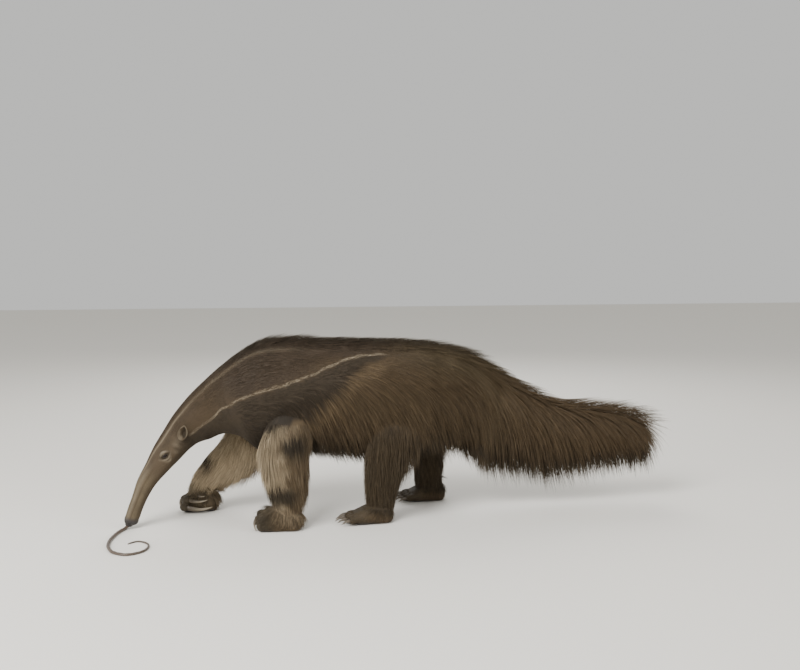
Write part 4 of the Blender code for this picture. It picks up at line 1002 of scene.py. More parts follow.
def hair_material(name, lie_name, sizes, depth, bare_colour=None, tone=(0.62, 1.32)):
    """Hair or haired hide: the markings, streaked along the lie, and bare skin where it shows."""
    made, tree, shader = new_material(name)
    colour, streak, patch = streaked(tree, shader, lie_name, sizes, tone, depth, 0.8)
    slow = ranged(tree, patch, 0.86, 1.14)
    colour = blend_node(tree, "MULTIPLY", 1.0, colour, slow)
    rough = ranged(tree, streak, 0.80, 0.52)
    if bare_colour:
        bare = stored(tree, "bare")["Fac"]
        place = tree.nodes.new("ShaderNodeTexCoord")
        pores = tree.nodes.new("ShaderNodeTexVoronoi")
        pores.inputs["Scale"].default_value = 900
        tree.links.new(place.outputs["Object"], pores.inputs["Vector"])
        pebbles = ranged(tree, pores.outputs["Distance"], 1.15, 0.55)
        pebbled = blend_node(tree, "MULTIPLY", 1.0, (*bare_colour, 1), pebbles)
        colour = blend_node(tree, "MIX", bare, colour, pebbled)
        wet = tree.nodes.new("ShaderNodeMix")
        tree.links.new(bare, wet.inputs[0])
        tree.links.new(rough, wet.inputs[2])
        wet.inputs[3].default_value = 0.38
        rough = wet.outputs[0]
    tree.links.new(colour, shader.inputs["Base Color"])
    tree.links.new(rough, shader.inputs["Roughness"])
    shader.inputs["Specular IOR Level"].default_value = 0.22
    return made


paws = {name: paw_flesh(name) for name in PAWS}
BARE_SKIN = (0.046, 0.040, 0.037)
hide = hair_material("haired hide", "lie", (230, 1300, 24), 0.0004, BARE_SKIN, (0.78, 1.16))
lid_skins, ear_skins = [lid_skin(0), lid_skin(1)], [ear_skin(1), ear_skin(-1)]
skins = [trunk_skin()] + [leg_skin(name) for name in legs] + [paw_skin(name) for name in paws]
skins += lid_skins + ear_skins
skin_mesh = mesh_of("skin", *joined([skin[:2] for skin in skins]))
skin_colours, skin_lie, skin_bare = (np.concatenate([skin[k] for skin in skins]) for k in (2, 3, 4))
store(skin_mesh, marking=skin_colours, lie=skin_lie, bare=skin_bare)
add_piece("skin", skin_mesh, hide, "face", "head", "neck", "torso", "tail", "ear_left", "ear_right",
          *legs, *paws)

# The eyes: small dark globes, as a mounted animal's are of glass, with a clear wet front, a dark
# brown iris and a black pupil. Each is set deep between its lids, which rest on it.
IRIS_DARK, IRIS_BROWN = (0.012, 0.007, 0.004, 1), (0.028, 0.015, 0.008, 1)
PUPIL_BLACK = (0.004, 0.003, 0.003, 1)
eye_material, eye_tree, eye_shader = new_material("wet dark eye")
eye_fibres = eye_tree.nodes.new("ShaderNodeTexNoise")
eye_fibres.inputs["Scale"].default_value = 700
eye_where = eye_tree.nodes.new("ShaderNodeTexCoord")
eye_tree.links.new(eye_where.outputs["Object"], eye_fibres.inputs["Vector"])
eye_brown = blend_node(eye_tree, "MIX", eye_fibres.outputs["Fac"], IRIS_DARK, IRIS_BROWN)
eye_colour = blend_node(eye_tree, "MIX", stored(eye_tree, "iris")["Fac"], PUPIL_BLACK, eye_brown)
eye_tree.links.new(eye_colour, eye_shader.inputs["Base Color"])
eye_shader.inputs["Roughness"].default_value = 0.10
eye_shader.inputs["Specular IOR Level"].default_value = 0.20


def eye_globe(number):
    """A ball with a slight bulge in front, as rings from its front pole to its back pole."""
    normal, back = eye_normal[number], eye_back[number]
    side = np.cross(normal, back)
    rows, columns = 33, 48
    lean, turn = ring_grid(np.linspace(0.02, math.pi - 0.02, rows), columns)
    radius = EYE_RADIUS * (0.985 + 0.030 * bell(lean, 0.55))
    outward = back * np.cos(turn)[:, None] + side * np.sin(turn)[:, None]
    out = normal * np.cos(lean)[:, None] + outward * np.sin(lean)[:, None]
    points, faces = capped(eye_centres[number] + out * radius[:, None], rows, columns)
    iris = rise(lean, 0.30, 0.36) * (1 - rise(lean, 0.85, 0.95))
    return points, facing_out(points, faces, columns, normal), np.append(iris, (0, 0))


for number, name in enumerate(("eye_left", "eye_right")):
    globe_points, globe_faces, iris = eye_globe(number)
    globe = mesh_of(name + "_globe", globe_points, globe_faces)
    store(globe, iris=iris)
    add_piece(name + "_globe", globe, eye_material, "eye", name)

# The claws: worn horn, dark at the root and pale at the tip, with fine lines along it. Each grows
# from the end of a finger or toe, bends to its tip and has a keel below; the hand's are the greatest.
claw_material, claw_tree, claw_shader = new_material("worn horn")
claw_colour, _, claw_patch = streaked(
    claw_tree, claw_shader, "lie", (25, 900, 90), (0.72, 1.18), 0.0003, 1.0
)
claw_tree.links.new(claw_colour, claw_shader.inputs["Base Color"])
claw_tree.links.new(ranged(claw_tree, claw_patch, 0.30, 0.55), claw_shader.inputs["Roughness"])
CLAW_ROOT, CLAW_TIP, TOE_TIP = (0.085, 0.066, 0.045), (0.34, 0.29, 0.21), (0.13, 0.105, 0.075)
CLAW_RINGS, CLAW_SIDES, CLAW_FLAT, CLAW_KEEL, HAND_BOW, TOE_BOW = 30, 20, 0.78, 0.35, 0.07, -0.08


def claw_horn(root, aim, length, radius, curl, bow, tip):
    """A tapered tube, bent by curl times the square of the way along; its root is in the toe."""
    aim = unit(np.array(aim, float))
    share = np.linspace(-0.10, 1, CLAW_RINGS)
    ahead = np.clip(share, 0, 1)[:, None]
    path = root + aim * length * share[:, None] + np.array(curl) * ahead**2 * length
    path[:, 2] -= bow * length * np.sin(math.pi * ahead[:, 0])
    radii = radius * (1 - 0.90 * ahead[:, 0] ** 1.6) * (0.94 + 0.06 * np.sin(share * 9))
    tube = tube_points(path, radii, CLAW_SIDES, flat=CLAW_FLAT, keel=CLAW_KEEL)
    points, faces = capped(tube, CLAW_RINGS, CLAW_SIDES)
    along, turn = ring_grid(share, CLAW_SIDES)
    along, turn = np.append(along, (share[0], share[-1])), np.append(turn, (0, 0))
    lie = round_lie(along * length, turn, radius * 2)
    return points, faces, mix(CLAW_ROOT, tip, rise(along, 0.05, 0.85)), lie


for paw in PAWS:
    bow, tip = (TOE_BOW, TOE_TIP) if paw.startswith("hind") else (HAND_BOW, CLAW_TIP)
    horns = [claw_horn(*claw, bow, tip) for claw in toes_of(paw)[1]]
    claw_mesh = mesh_of("claws_" + paw, *joined([horn[:2] for horn in horns]))
    claw_colours, claw_lie = (np.vstack([horn[k] for horn in horns]) for k in (2, 3))
    store(claw_mesh, marking=claw_colours, lie=claw_lie)
    limb, side = paw.split("paw_")
    nodes = [f"claw_{limb}_{side}_{i + 1}" for i in range(len(horns))]
    add_piece("claws_" + paw, claw_mesh, claw_material, "claw", *nodes)

# The tongue: a long, thin, moist cord of muscle, round and narrowed to its tip. It leaves the mouth,
# drops to the ground and lies there in an open curl.
TONGUE = (  # places along it: x, y, z
    (-0.8500, -0.0650, 0.0420), (-0.8640, -0.0660, 0.0110), (-0.8730, -0.0800, 0.0062),
    (-0.8880, -0.1150, 0.0050), (-0.8990, -0.1600, 0.0042), (-0.9050, -0.2100, 0.0042),
    (-0.9000, -0.2700, 0.0042), (-0.8780, -0.3200, 0.0042), (-0.8420, -0.3420, 0.0042),
    (-0.8060, -0.3250, 0.0042), (-0.7880, -0.2800, 0.0042), (-0.7980, -0.2350, 0.0042),
    (-0.8240, -0.2150, 0.0042), (-0.8500, -0.2330, 0.0042),
)
TONGUE_RADIUS, TONGUE_TIP = 0.0050, 0.0022
TONGUE_RINGS, TONGUE_SIDES, TONGUE_STREAKS = 260, 20, (0.6, 0.0012)  # the last, along and a side
TONGUE_COLOUR, TONGUE_TIP_COLOUR = (0.090, 0.062, 0.045), (0.070, 0.052, 0.038)
tongue_path = curve_through(TONGUE, TONGUE_RINGS)
tongue_share = np.linspace(0, 1, TONGUE_RINGS)
tongue_radii = TONGUE_RADIUS - (TONGUE_RADIUS - TONGUE_TIP) * np.clip(tongue_share - 0.45, 0, 1) / 0.55
tongue_radii *= np.sqrt(np.clip((1.004 - tongue_share) / 0.012, 0, 1))
tongue_radii *= 1 + 0.03 * np.sin(tongue_share * 150)
on_floor = tongue_path[:, 2] < TONGUE_RADIUS + 0.0015
tongue_path[:, 2] = np.where(on_floor, tongue_radii, tongue_path[:, 2])
tongue_tube = tube_points(tongue_path, tongue_radii, TONGUE_SIDES)
tongue_mesh = mesh_of("tongue", *capped(tongue_tube, TONGUE_RINGS, TONGUE_SIDES))
tongue_along = np.repeat(tongue_share, TONGUE_SIDES)
tongue_around = np.tile(np.arange(TONGUE_SIDES), TONGUE_RINGS) * TONGUE_STREAKS[1]
tongue_lie = np.stack([tongue_along * TONGUE_STREAKS[0], tongue_around, 0 * tongue_along], 1)
tongue_colours = mix(TONGUE_COLOUR, TONGUE_TIP_COLOUR, np.append(tongue_along, (0, 1)))
store(tongue_mesh, lie=np.vstack([tongue_lie, np.zeros((2, 3))]), marking=tongue_colours)
tongue_material = hair_material("moist tongue", "lie", (500, 900, 60), 0.0002, tone=(0.82, 1.15))
tongue_shader = tongue_material.node_tree.nodes["Principled BSDF"]
tongue_shader.inputs["Coat Weight"].default_value = 0.6
tongue_shader.inputs["Coat Roughness"].default_value = 0.2
add_piece("tongue", tongue_mesh, tongue_material, "tongue", "tongue_drop", "tongue_curl")

# The coat: coarse hair in thin tufts, each a closed blade of three sides that leaves the skin
# along the lie and bends down to its tip. It is shortest on the face and longest on the tail.
BLADES = {  # shares of the length at each ring and the tip, widths at the rings, how uneven
    "long": (np.array([0.0, 0.34, 0.70, 1.0]), np.array([0.90, 0.90, 0.48]), 0.17),
    "middle": (np.array([0.0, 0.46, 1.0]), np.array([0.90, 0.80]), 0.17),
    "rough": (np.array([0.0, 0.5, 1.0]), np.array([0.9, 0.8]), 0.26),
    "short": (np.array([0.0, 0.5, 1.0]), np.array([0.9, 0.75]), 0.10),
}
coat_material = hair_material("coarse coat", "strand", (1.3, 3.2, 0.05), 0.0006)
DOWN, ROUND = np.array([0, 0, -1.0]), (-math.pi, math.pi)
BLADE_RIDGE, BLADE_PATCH = 0.36, 0.003  # a blade's height by its width, and its size on the unwrap


def blade_faces(rings):
    """The triangles of one blade: a cap at the root, sides between rings and a point."""
    sides = ((0, 1), (1, 2), (2, 0))
    faces = [(0, 1, 2)]
    for r in range(0, 3 * (rings - 1), 3):
        for k, m in sides:
            faces += [(r + m, r + k, r + 3 + k), (r + m, r + 3 + k, r + 3 + m)]
    last = 3 * (rings - 1)
    return np.array(faces + [(last + m, last + k, last + 3) for k, m in sides])


def blade_paths(root, normal, lie, length, lift, fall, shares):
    """The middle line of each blade: its aim turns from lie and lift to lie and fall."""
    start = unit(lie + normal * lift[:, None])
    last_lift = lift * np.interp(length, (0.01, 0.04), (0.6, 0.2))
    finish = unit(lie + normal * last_lift[:, None] + DOWN * fall[:, None])
    sunk = np.minimum(length * 0.04, 0.0015)
    path = [root - start * (length * 0.05)[:, None] - normal * sunk[:, None]]
    for near, far in zip(shares[:-1], shares[1:]):
        aim = unit(start + (finish - start) * ((near + far) / 2) ** 0.8)
        path.append(path[-1] + aim * (length * (far - near))[:, None])
    return np.stack(path, 1)


def blade_points(path, normal, width, widths):
    """Three corners on each ring and a tip: two edges and a low ridge between."""
    aim = unit(np.diff(path, axis=1))
    across = unit(np.cross(aim, normal[:, None]))
    out = np.cross(across, aim)
    half = across * (width[:, None] * widths / 2)[..., None]
    deep = out * (width[:, None] * widths * BLADE_RIDGE)[..., None]
    base = path[:, :-1]
    rings = np.stack([base + half, base + deep, base - half], 2).reshape(len(path), -1, 3)
    return np.concatenate([rings, path[:, -1:]], 1)


def coat_piece(name, path, normal, width, colours, tips, unwrap, rng, slot, kind):
    """One object of many blades, with its colours, its strand map and its unwrap."""
    shares, widths, uneven = BLADES[kind]
    count, each = len(path), 3 * len(widths) + 1
    points = blade_points(path, normal, width, widths)
    faces = (blade_faces(len(widths))[None] + each * np.arange(count)[:, None, None]).reshape(-1, 3)
    mesh = mesh_of(name, points.reshape(-1, 3), [faces], smooth=False)
    share = np.append(np.repeat(shares[:-1], 3), 1.0)[None, :, None]
    shade = rng.lognormal(0, uneven, (count, 1, 1))
    shade = shade * ((0.94 + 0.12 * share) if kind == "short" else (0.72 + 0.36 * share))
    blend = np.clip(share * 1.4 - 0.45, 0, 1)
    tone = (colours[:, None] * (1 - blend) + tips[:, None] * blend) * shade
    u = np.tile(np.append(np.tile([0.0, 0.5, 1.0], len(widths)), 0.5), (count, 1))
    seed = rng.uniform(0, 90, (count, 1))
    strand = np.stack([share[..., 0] * 1.5 + seed, u * 2 + seed, seed + 0 * u], 2)
    store(mesh, marking=tone.reshape(-1, 3), strand=strand.reshape(-1, 3))
    patch = np.stack([u - 0.5, share[..., 0] + 0 * u - 0.5], 2) * BLADE_PATCH
    place = (np.clip(unwrap, 0.002, 0.998)[:, None] + patch).reshape(-1, 2)
    mesh.uv_layers.new(name="OFBake").data.foreach_set(
        "uv", np.ascontiguousarray(place[faces.ravel()], np.float32).ravel()
    )
    add_piece(name, mesh, coat_material, slot)


ROOT_WAYS, ROOT_TURNS = 140, 120


def spread_roots(form, low, high, count, weight, rng, turns=ROUND):
    """Roots spread evenly over a stretch of a form, by area times a wanted closeness."""
    ways, angles = np.linspace(low, high, ROOT_WAYS + 1), np.linspace(*turns, ROOT_TURNS + 1)
    centres = np.meshgrid((ways[1:] + ways[:-1]) / 2, (angles[1:] + angles[:-1]) / 2, indexing="ij")
    t, turn = [grid.ravel() for grid in centres]
    here = form_point(form, t, turn)
    step, twist = 2 * SHORT_WAY, 2 * SHORT_TURN
    long_way = np.linalg.norm(form_point(form, t + step, turn) - here, axis=1) / step
    wide_way = np.linalg.norm(form_point(form, t, turn + twist) - here, axis=1) / twist
    share = np.cumsum(long_way * wide_way * weight(t, turn))
    cell = np.searchsorted(share / share[-1], (np.arange(count) + rng.random(count)) / count)
    cell = np.clip(cell, 0, len(t) - 1)
    t = t[cell] + (rng.random(count) - 0.5) * (ways[1] - ways[0])
    return t, turn[cell] + (rng.random(count) - 0.5) * (angles[1] - angles[0])


CLUMP = 0.009  # metres of skin, along and around, whose hair draws together
CELL_NOISE = (12.9898, 78.233, 43758.5453)  # a sine of these, cut to its fraction, looks random


def grow(form, t, turn, fields, rng, kind):
    """Blades on a form: fields give length, lift, fall, drift of the lie, width and pull.

    Blades that share a cell of a clump's size draw together towards their tips, by their pull.
    """
    def paths(t, turn, scale):
        root, normal, ahead = form_surface(form, t, turn)
        length, lift, fall, drift, width, pull = fields(t, turn, root)
        lie = unit(ahead + drift - normal * (drift * normal).sum(1, keepdims=True))
        swirl = 0.14 * ripple(root, 0.07, 1.3) + 0.09 * ripple(root, 0.025, 4)
        lie = unit(lie + np.cross(normal, lie) * (swirl * (0.1 + 1.7 * pull))[:, None])
        made = blade_paths(root, normal, lie, length * scale, lift, fall, BLADES[kind][0])
        return made, normal, width, pull, root

    scale = rng.uniform(0.70, 1.12, len(t))
    path, normal, width, pull, root = paths(t, turn, scale)
    girth = station_at(form, t)[:, 5].mean()
    i = np.floor(t / CLUMP + 0.5 * np.sin(turn * 9))
    j = np.floor(turn * girth / CLUMP + 0.5 * np.sin(t * 300))
    jitter = np.sin(i * CELL_NOISE[0] + j * CELL_NOISE[1]) * CELL_NOISE[2]
    jitter = jitter - np.floor(jitter)
    cell_t = np.clip((i - 0.5 * np.sin(turn * 9) + 0.5) * CLUMP, t - CLUMP, t + CLUMP)
    cell_turn = (j - 0.5 * np.sin(t * 300) + 0.5) * CLUMP / girth
    together = paths(cell_t, cell_turn, scale * (0.85 + 0.3 * jitter))[0]
    share = (pull * (0.7 + 0.6 * jitter))[:, None, None] * (BLADES[kind][0] ** 1.3)[None, :, None]
    path = path + (together - path) * np.clip(share, 0, 0.95)
    path[..., 2] = np.maximum(path[..., 2], 0.002)
    return path, normal, width * rng.uniform(0.75, 1.2, len(t)), root


TRUNK_HAIR = {  # length on the crest, the side, low down and beneath, in mm
    "snout end": (1.5, 1.5, 1.5, 1.5), "high snout": (4, 4, 4, 4), "eyes": (5, 5, 5, 5),
    "ears": (8, 7, 7, 8), "nape": (14, 11, 10, 11), "high neck": (22, 15, 14, 17),
    "mid neck": (32, 20, 20, 26), "low neck": (44, 27, 27, 34), "withers": (58, 33, 35, 44),
    "shoulders": (76, 38, 42, 50), "chest": (92, 44, 72, 84), "ribs": (98, 54, 126, 118),
    "belly": (100, 62, 150, 126), "loin": (102, 70, 152, 128), "hips": (114, 84, 146, 124),
    "rump": (136, 104, 206, 200), "tail root": (150, 136, 228, 218), "high tail": (152, 166, 226, 216),
    "tail 1": (146, 170, 214, 204), "tail 2": (138, 164, 198, 188), "tail 3": (138, 152, 172, 162),
    "tail 4": (136, 142, 160, 150), "tail 5": (134, 136, 154, 144), "tail end": (118, 122, 136, 130),
}
HAIR_WIDTHS = ((0.002, 0.006, 0.02, 0.06, 0.15), (0.0005, 0.0008, 0.0012, 0.0017, 0.0025))
LEG_STEPS, LEG_LIFT = (0.012, 0.030), 0.14  # over a leg the trunk's hair is lifted in two steps
TRUNK_ROOTS, LEG_ROOTS = 0.004, 0.022  # a root deeper than this in a leg or the trunk is left out
LID_REACH = 0.0092  # the trunk's hair starts this far from the middle of an eye
HAIR_PULLS = ((0.006, 0.02, 0.05, 0.15), (0.05, 0.22, 0.42, 0.58))
HAIR_CLOSENESS = ((0.002, 0.006, 0.020, 0.060, 0.16), (0.6, 1.3, 1.25, 1.0, 1.0))
trunk_ways = [way_to(trunk, name) for name in TRUNK_HAIR]
hair_table = np.array(list(TRUNK_HAIR.values())) / 1000


def stripe_lie(x, z):
    """The way the stripe runs at each x, and how near each point is to it, farther out above."""
    slope = np.interp(x, (stripe_x[1:] + stripe_x[:-1]) / 2, np.diff(stripe_z) / np.diff(stripe_x))
    run = unit(np.stack([1 + 0 * x, 0 * x, slope], 1))
    below = np.interp(x, stripe_x, stripe_z) - z
    near = bell(np.clip(np.abs(below) - 0.010, 0, 1), np.where(below < 0, 0.045, 0.024))
    return run, near * (1 - rise(x, -0.06, 0.04)) * rise(x, -0.72, -0.66)


def trunk_fields(t, turn, root):
    """The trunk's coat: long and raised on the crest, hanging on flank and tail, and flat along
    the stripe, where near is 1: there it follows the stripe and doesn't clump.
    """
    side = from_crown(turn)
    four = np.stack([np.interp(t, trunk_ways, hair_table[:, k]) for k in range(4)], 1)
    crest = 1 - rise(side, 0.10, 0.48)
    low, under = rise(side, 1.2, 1.9), rise(side, 2.3, 2.9)
    length = four[:, 1] + (four[:, 2] - four[:, 1]) * low
    length = length + (four[:, 3] - length) * under
    length = length + (four[:, 0] - length) * crest
    run, near = stripe_lie(root[:, 0], root[:, 2])
    near = near * rise(side, 0.3, 0.6) * (side < 2.6)
    length = length * (1 - 0.72 * near)
    tail = rise(t, way_to(trunk, "rump"), way_to(trunk, "high tail"))
    tail_end = rise(t, way_to(trunk, "tail 2"), way_to(trunk, "tail 5"))
    body = rise(t, way_to(trunk, "withers"), way_to(trunk, "ribs"))
    long_hair = rise(length, 0.02, 0.10)
    raised = rise(t, way_to(trunk, "mid neck"), way_to(trunk, "shoulders"))
    lift = 0.12 + 0.06 * long_hair + crest * (0.42 + 0.18 * tail) * raised
    for leg in legs.values():
        lift = lift + LEG_LIFT * sum(inside_form(leg, root, -reach) for reach in LEG_STEPS)
    lift = lift + 0.14 * tail + 0.15 * under * long_hair
    fall = long_hair * (1 - crest) * (0.35 + 1.5 * low * body + 0.6 * tail * (1 - 0.2 * tail_end))
    down = 0.12 + 0.45 * body + low * body * (0.9 + 0.9 * tail) + tail * (1.1 - 0.7 * tail_end)
    down = down * (1 - crest) * (1 - near)
    drift = DOWN * down[:, None] + run * (4.0 * near)[:, None]
    width = np.interp(length, *HAIR_WIDTHS)
    pull = np.interp(length, *HAIR_PULLS) * (1 - 0.97 * near)
    return length, lift, fall * (1 - near), drift, width, pull


def pale_tips(colours, points, amount, rng):
    """Tip colours: some tufts are grizzled, with tips paler than the rest."""
    grizzled = (rng.random(len(points)) < 0.35 + 0.25 * ripple(points, 0.1, 3))[:, None]
    return np.where(grizzled, colours * (1 + amount) + 0.02 * amount, colours * 1.05)


def trunk_coat(name, first, last, count, seed, turns=ROUND, slot="dark_coat", kind="long"):
    """A stretch of the trunk's coat, from one station to another."""
    rng = np.random.default_rng(seed)
    low, high = way_to(trunk, first), min(way_to(trunk, last), trunk["at"][-1] - 0.003)

    def closeness(t, turn):
        grown = np.interp(t, trunk_ways, hair_table[:, 1])
        point = form_point(trunk, t, turn)
        near = stripe_lie(point[:, 0], point[:, 2])[1]
        close = np.interp(grown, *HAIR_CLOSENESS)
        return close * (1 + near) * (1 + 0.8 * (1 - rise(from_crown(turn), 0.15, 0.60)))

    t, turn = spread_roots(trunk, low, high, count, closeness, rng, turns)
    root = form_surface(trunk, t, turn)[0]
    hidden = np.zeros(len(t), bool)
    for leg in legs.values():
        hidden |= inside_form(leg, root, TRUNK_ROOTS)
    hidden |= eye_gap(root) < LID_REACH
    t, turn = t[~hidden], turn[~hidden]
    path, normal, width, root = grow(trunk, t, turn, trunk_fields, rng, kind)
    colours = trunk_colours(path[:, 1], t + (path[:, 1] - root) @ np.array([0.9, 0, 0]), turn)
    unwrap = np.stack([(t - low) / (high - low), (turn % (2 * math.pi)) / (2 * math.pi)], 1)
    tips = pale_tips(colours, root, 0.5, rng)
    coat_piece(name, path, normal, width, colours, tips, unwrap, rng, slot, kind)


trunk_coat("coat_face", "nose", "nape", 13000, 1, slot="face", kind="short")
trunk_coat("coat_neck", "nape", "low neck", 12000, 2, slot="neck", kind="short")
trunk_coat("coat_shoulders", "mid neck", "chest", 13500, 3, kind="middle")
trunk_coat("coat_flank_left", "chest", "hips", 11000, 4, turns=(0.0, math.pi))
trunk_coat("coat_flank_right", "chest", "hips", 11000, 5, turns=(-math.pi, 0.0))
trunk_coat("coat_rump", "hips", "high tail", 9000, 6)
trunk_coat("coat_tail", "tail root", "tail end", 12400, 7)


def leg_coat(name, count, seed):
    """A leg's coat: it lies down the leg, longest on the front of a foreleg and behind a thigh."""
    rng = np.random.default_rng(seed)
    form = legs[name]
    hind = name.startswith("hind")
    end = way_to(form, "ankle" if hind else "wrist") + (0.038 if hind else 0.024)
    lengths = (0.096, 0.084, 0.070, 0.034) if hind else (0.058, 0.054, 0.046, 0.038)

    def fields(t, turn, root):
        share = t / end
        front, back = rise(np.cos(turn), 0.2, 0.9), rise(-np.cos(turn), 0.1, 0.9)
        length = np.interp(share, (0, 0.45, 0.8, 1), lengths)
        length = length * (1 + (0.05 if hind else 0.45) * front + (0.40 if hind else 0.60) * back)
        lift = 0.24 + (0.14 if hind else 0.28) * front + 0.22 * back
        near = near_trunk(root)
        length = length * (1 - 0.15 * near)
        lift = lift * (1 - 0.75 * near) * (1 - 0.45 * rise(share, 0.78, 0.95))
        fall = 0.30 + 0.4 * rise(length, 0.03, 0.07)
        drift = np.array([1.0, 0, -0.25]) * (0.55 - 0.55 * share)[:, None]
        width = np.interp(length, *HAIR_WIDTHS)
        return length, lift, fall, drift, width, 0.45 + 0.15 * back

    def closeness(t, turn):
        return 0.7 + 0.8 * rise(t, 0.3 * end, end) + near_trunk(form_point(form, t, turn))

    t, turn = spread_roots(form, 0.004, end, count, closeness, rng)
    root = form_surface(form, t, turn)[0]
    keep = ~inside_form(trunk, root, LEG_ROOTS)
    t, turn = t[keep], turn[keep]
    path, normal, width, root = grow(form, t, turn, fields, rng, "middle")
    colours = leg_colours(name, path[:, 1], t + np.linalg.norm(path[:, 1] - root, axis=1), turn)
    unwrap = np.stack([t / end, (turn % (2 * math.pi)) / (2 * math.pi)], 1)
    tips = pale_tips(colours, root, 0.5, rng)
    slot = "dark_coat" if hind else "pale_coat"
    coat_piece("coat_" + name, path, normal, width, colours, tips, unwrap, rng, slot, "middle")


for seed, name in enumerate(legs):
    leg_coat(name, 8200, 20 + seed)


def scatter(points, quads, weight, count, rng):
    """Roots spread evenly over quads by area times weight, with the normals of their faces."""
    a, b, c, d = (points[quads[:, k]] for k in range(4))
    facing = np.cross(c - a, d - b)
    share = np.cumsum(np.linalg.norm(facing, axis=1) * weight(points[quads].mean(1)))
    pick = np.searchsorted(share / share[-1], (np.arange(count) + rng.random(count)) / count)
    u, v = rng.random((2, count, 1))
    root = (a[pick] * (1 - u) + b[pick] * u) * (1 - v) + (d[pick] * (1 - u) + c[pick] * u) * v
    return root, unit(facing[pick])


PAW_LIES = np.array([(-1.0, 0, -0.3), (-0.1, 0, -1.0), (0.15, 0, -0.9)])  # top, front, heel


def paw_coat(name, count, seed):
    """Hair over a paw, lying towards the toes; pads, folded fingers and claws are bare."""
    rng = np.random.default_rng(seed)
    _, front, y, inner, length = PAWS[name]
    hind = name.startswith("hind")
    points, (quads,) = paws[name]
    top = points[:, 2].max()

    def haired(centre):
        x, sideways, z = centre.T
        bare = 0 * x
        if not hind:
            folded = rise(inner * (sideways - y), 0.010, 0.022) * (z < 0.062)
            bare = np.maximum(rise(front + 0.015 - x, -0.008, 0.008), folded)
        rim = top - (0.012 if hind else 0.022)
        return rise(z, 0.004, 0.010) * (1 - bare) * (1 - rise(z, rim, rim + 0.010))

    root, normal = scatter(points, quads, haired, count, rng)
    steep = rise(root[:, 2], 0.030, 0.075)
    rear = rise(root[:, 0] - front, length * 0.35, length * 0.8)
    toward = PAW_LIES[0] * (1 - steep)[:, None] + PAW_LIES[1] * steep[:, None]
    toward = toward * (1 - 0.8 * rear)[:, None] + PAW_LIES[2] * rear[:, None]
    lie = unit(across_normal(toward, normal))
    size = (0.011 + 0.018 * steep + 0.010 * rear) * rng.uniform(0.6, 1.3, count)
    size *= 1.0 if hind else 1.25
    lift = 0.34 - 0.16 * rise(front + 0.07 - root[:, 0], 0, 0.04)
    path = blade_paths(root, normal, lie, size, lift, 0.3 + 0 * size, BLADES["rough"][0])
    path[..., 2] = np.maximum(path[..., 2], 0.0015)
    colours = paw_colours(name, root)
    turn = np.arctan2(root[:, 1] - y, root[:, 2] - 0.02) / (2 * math.pi) + 0.5
    unwrap = np.stack([np.clip((root[:, 0] - front + 0.02) / (length + 0.05), 0, 1), turn], 1)
    tips = pale_tips(colours, root, 0.9, rng)
    width = np.interp(size, *HAIR_WIDTHS)
    coat_piece("coat_" + name, path, normal, width, colours, tips, unwrap, rng, "paw", "rough")


for seed, name in enumerate(PAWS):
    paw_coat(name, 3600, 40 + seed)


def detail_coat(name, skin, number, toward, weight, size, count, seed):
    """Very short hair on a lid or an ear: it lies toward one way, where weight lets it grow."""
    rng = np.random.default_rng(seed)
    points, (quads, *_), colours = skin[:3]
    root, normal = scatter(points, quads, weight, count, rng)
    lie = unit(across_normal(toward, normal))
    length = size * rng.uniform(0.7, 1.2, count)
    path = blade_paths(root, normal, lie, length, 0.25 + 0 * length, 0 * length, BLADES["short"][0])
    near = colours[quads[:, 0]]
    centre = points[quads].mean(1)
    pick = ((root[:, None] - centre[None]) ** 2).sum(2).argmin(1)
    shade = np.maximum(near[pick], 0.6 * np.array(FACE_GREY))
    unwrap = np.stack([0.1 + 0.8 * number + 0 * length, np.linspace(0.1, 0.9, count)], 1)
    width = np.interp(length, *HAIR_WIDTHS)
    coat_piece(name, path, normal, width, shade, shade * 1.15, unwrap, rng, "face", "short")


def off_globe(centre):
    """Where hair grows on the lids: clear of the globes and of the lids' bare rims."""
    gap = np.linalg.norm(centre[:, None] - eye_centres[None], axis=2).min(1)
    return rise(gap, 0.0078, 0.0095)


def everywhere(centre):
    """Where hair grows on an ear: all over it."""
    return np.ones(len(centre))


LID_LIE, EAR_LIE, LID_HAIR, EAR_HAIR = (0.5, 0, 0.86), (0.35, 0, 0.94), 0.0042, 0.0045
for number, label in enumerate(("left", "right")):
    lids, ear = lid_skins[number], ear_skins[number]
    detail_coat("coat_lids_" + label, lids, number, LID_LIE, off_globe, LID_HAIR, 900, 60 + number)
    detail_coat("coat_ear_" + label, ear, number, EAR_LIE, everywhere, EAR_HAIR, 1800, 70 + number)

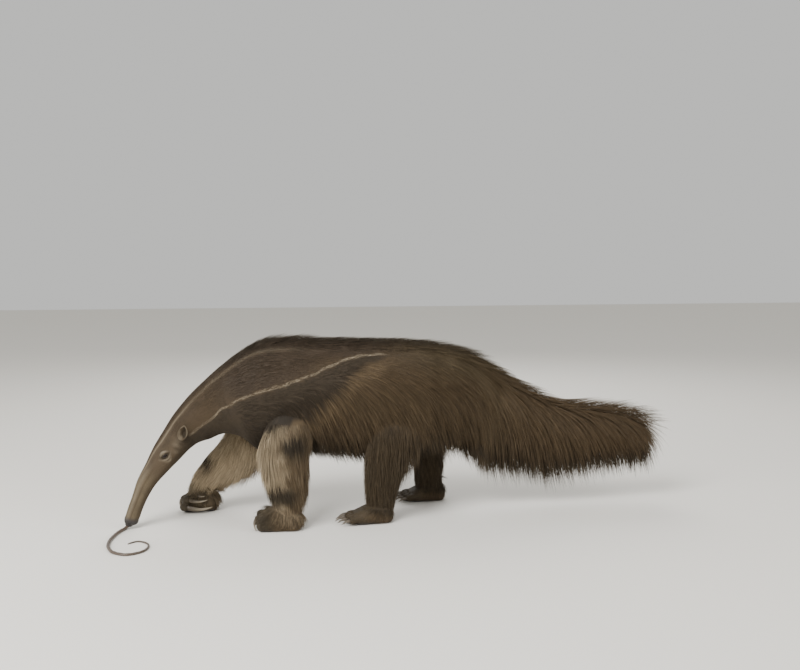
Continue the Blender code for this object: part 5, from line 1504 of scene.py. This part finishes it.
# The stage: a plain pale floor, four soft lamps and a pale room, and the camera at the picture's
# angle. None of it belongs to the animal.
FLOOR_REACH, FLOOR_COLOUR, ROOM_COLOUR = 12, (0.78, 0.75, 0.69, 1), (0.86, 0.86, 0.84, 1)
floor_material, _, floor_shader = new_material("pale floor")
floor_shader.inputs["Base Color"].default_value = FLOOR_COLOUR
floor_shader.inputs["Roughness"].default_value = 0.9
floor_corners = np.array([(-1, -1, 0), (1, -1, 0), (1, 1, 0), (-1, 1, 0)]) * FLOOR_REACH
floor = new_object("floor", mesh_of("floor", floor_corners, [np.array([[0, 1, 2, 3]])], shift=False))
floor.data.materials.append(floor_material)

world = bpy.data.worlds.new("soft room")
world.use_nodes = True
world.node_tree.nodes["Background"].inputs["Color"].default_value = ROOM_COLOUR
world.node_tree.nodes["Background"].inputs["Strength"].default_value = 0.80
bpy.context.scene.world = world
LAMP_TARGET = np.array([0.0, 0.0, 0.3])
for name, place, power, size in (
    ("key", (-2.2, -2.6, 3.4), 240, 2.2), ("fill", (2.8, -2.4, 2.2), 55, 2.6),
    ("low", (-3.2, -1.6, 0.9), 45, 1.8), ("back", (0.6, 3.0, 2.8), 70, 2.4),
):
    lamp = bpy.data.lights.new(name, "AREA")
    lamp.energy = power
    lamp.size = size
    lamp_object = new_object(name, lamp)
    lamp_object.location = place
    aim = LAMP_TARGET - place
    yaw, pitch = math.atan2(aim[1], aim[0]), math.atan2(aim[2], math.hypot(aim[0], aim[1]))
    lamp_object.rotation_euler = (math.pi / 2 + pitch, 0, yaw - math.pi / 2)

CAMERA_PLACE, CAMERA_DIP, CAMERA_TURN = (-0.5383, -3.0529, 0.85), 4.923, -10  # metres, degrees
camera = bpy.data.cameras.new("camera")
camera.sensor_width = 36
camera.lens = 42.84
camera.clip_end = 60
camera_object = new_object("camera", camera)
camera_object.location = CAMERA_PLACE + SHIFT * (1, 1, 0)
camera_object.rotation_euler = (math.radians(90 - CAMERA_DIP), 0, math.radians(CAMERA_TURN))
bpy.context.scene.camera = camera_object
